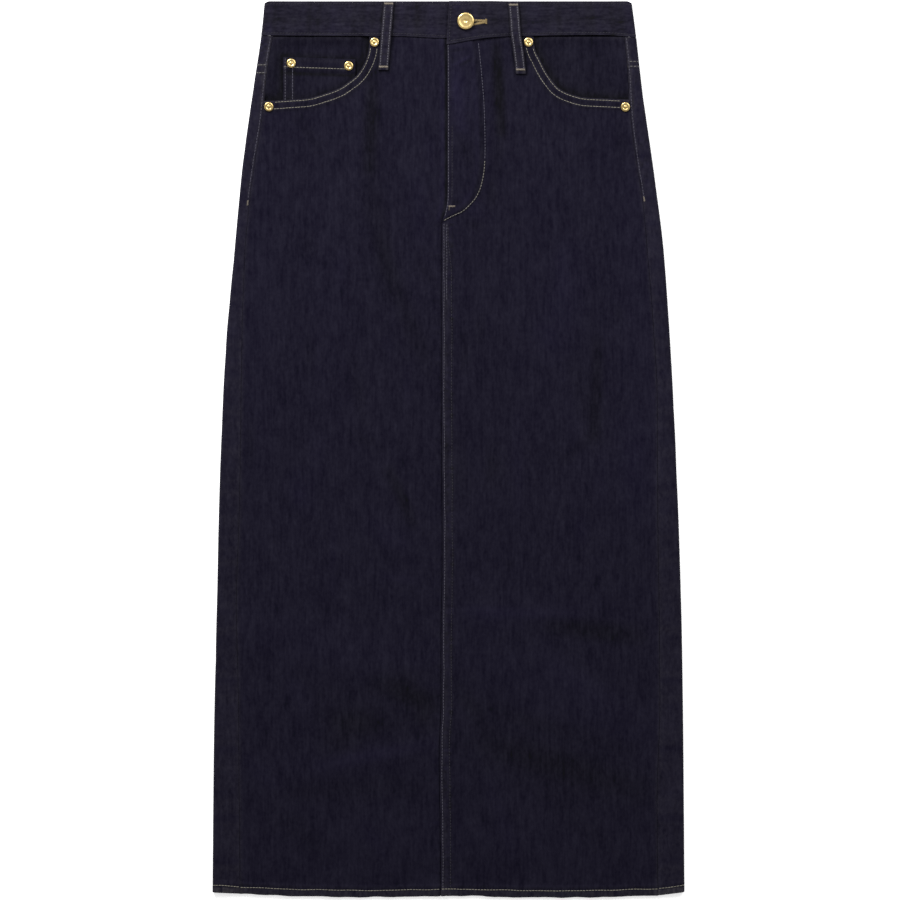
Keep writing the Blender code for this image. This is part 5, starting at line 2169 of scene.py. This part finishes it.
def build_metal(rivet_brass, button_brass):
    def add_rivet(rivet, surface):
        add_turned(rivet.name, RIVET_PROFILE, 40, rivet.x, rivet.down,
                   lambda x, down: surface(x, down)[..., 2], rivet_brass)

    for rivet in PANEL_RIVETS:
        add_rivet(rivet, front_surface(-1 if rivet.x < 0 else 1))
    for rivet in COIN_RIVETS:
        add_rivet(rivet, coin_surface)
    add_turned("waist_button", BUTTON_PROFILE, 64, *BUTTON_AT,
               lambda x, down: band_height(x, True, down), button_brass)


# Flat sizes that the cloth was cut to, in metres, for what shows, and what each piece lies on.

CUTS = table(
    "name width length area rests_on",
    ("waistband", 0.783, 0.036, 0.0280, ["back_yoke"]),
    ("front_panel_right", 0.212, 0.870, 0.172, ["back_panel_right", "back_yoke"]),
    ("front_panel_left", 0.221, 0.870, 0.175, ["back_panel_left", "front_panel_right"]),
    ("back_panel_right", 0.270, 0.838, 0.205, ["floor"]),
    ("back_panel_left", 0.270, 0.844, 0.207, ["floor"]),
    ("back_yoke", 0.410, 0.064, 0.0180, ["floor"]),
    ("pocket_facing_right", 0.117, 0.080, 0.0070, ["back_yoke"]),
    ("pocket_facing_left", 0.110, 0.079, 0.0066, ["back_yoke"]),
    ("coin_pocket", 0.073, 0.053, 0.0031, ["pocket_facing_right"]),
    ("fly_facing", 0.034, 0.170, 0.0046, ["front_panel_right"]),
    ("belt_loop_right", 0.0105, 0.0680, 0.00071, ["waistband", "front_panel_right"]),
    ("belt_loop_left", 0.0105, 0.0720, 0.00075, ["waistband", "front_panel_left"]),
)


def build_cloth():
    denims = {row.name: make_denim(row) for row in DENIMS}
    back = denims["denim_back"]
    facing = denims["denim_facing"]
    return [
        build_waistband(denims["denim_band"]),
        build_front("front_panel_right", -1, denims["denim_right"]),
        build_front("front_panel_left", 1, denims["denim"]),
        build_fly_facing(facing),
        build_back_panel("back_panel_right", -1, back),
        build_back_panel("back_panel_left", 1, back),
        build_yoke(back),
        build_pocket_facing("pocket_facing_right", -1, facing),
        build_pocket_facing("pocket_facing_left", 1, facing),
        build_coin_pocket(denims["denim_coin"]),
    ] + [build_belt_loop(loop, denims["denim_loop"]) for loop in BELT_LOOPS]


# Floor, light and camera.

CAMERA_HEIGHT = 6.0
CLOTH_LEVEL = 0.004
PICTURE_WIDTH = 0.9
SENSOR = 36.0
AIM = (0.0015, -0.00055)
FLOOR_SIDE = 6.0
FLOOR_LOOK = {
    "Base Color": (0.95, 0.95, 0.95, 1.0),
    "Roughness": 0.9,
    "Specular IOR Level": 0.1,
    "Emission Color": (1.0, 1.0, 1.0, 1.0),
    "Emission Strength": 0.45,
}
SKY_LOOK = {"Color": (1.0, 1.0, 1.0, 1.0), "Strength": 0.5}
LAMPS_AIM = Vector((0.0, 0.05, 0.0))
LAMPS = table(
    "name place size power",
    ("key", (-0.9, 1.65, 1.2), 0.9, 60),
    ("fill", (1.2, 1.4, 1.8), 1.5, 36),
)


def build_floor():
    bpy.ops.mesh.primitive_plane_add(size=FLOOR_SIDE, location=(0, 0, 0))
    floor = bpy.context.object
    floor.name = "floor"
    material, _, shader = new_material("floor_white")
    set_inputs(shader, FLOOR_LOOK)
    floor.data.materials.append(material)


def build_lights():
    world = bpy.data.worlds.new("studio_light")
    bpy.context.scene.world = world
    world.use_nodes = True
    set_inputs(world.node_tree.nodes["Background"], SKY_LOOK)
    for lamp in LAMPS:
        light = bpy.data.lights.new(lamp.name, "AREA")
        light.shape = "DISK"
        light.size = lamp.size
        light.energy = lamp.power
        holder = bpy.data.objects.new(lamp.name, light)
        studio.objects.link(holder)
        holder.location = lamp.place
        aim = LAMPS_AIM - Vector(lamp.place)
        holder.rotation_euler = aim.to_track_quat("-Z", "Y").to_euler()


def build_camera():
    camera = bpy.data.cameras.new("camera")
    camera.sensor_width = SENSOR
    camera.lens = SENSOR * (CAMERA_HEIGHT - CLOTH_LEVEL) / PICTURE_WIDTH
    viewer = bpy.data.objects.new("camera", camera)
    studio.objects.link(viewer)
    viewer.location = (*AIM, CAMERA_HEIGHT)
    bpy.context.scene.camera = viewer
    bpy.context.scene.view_settings.view_transform = "Standard"


build_floor()
build_lights()
build_camera()
pieces = {piece.name: piece for piece in build_cloth()}
threads = {name: make_thread(name, color) for name, color in THREADS.items()}
build_sewing(threads)
build_metal(make_brass("brass_rivet", 0.82), make_brass("brass_button", 1.1))
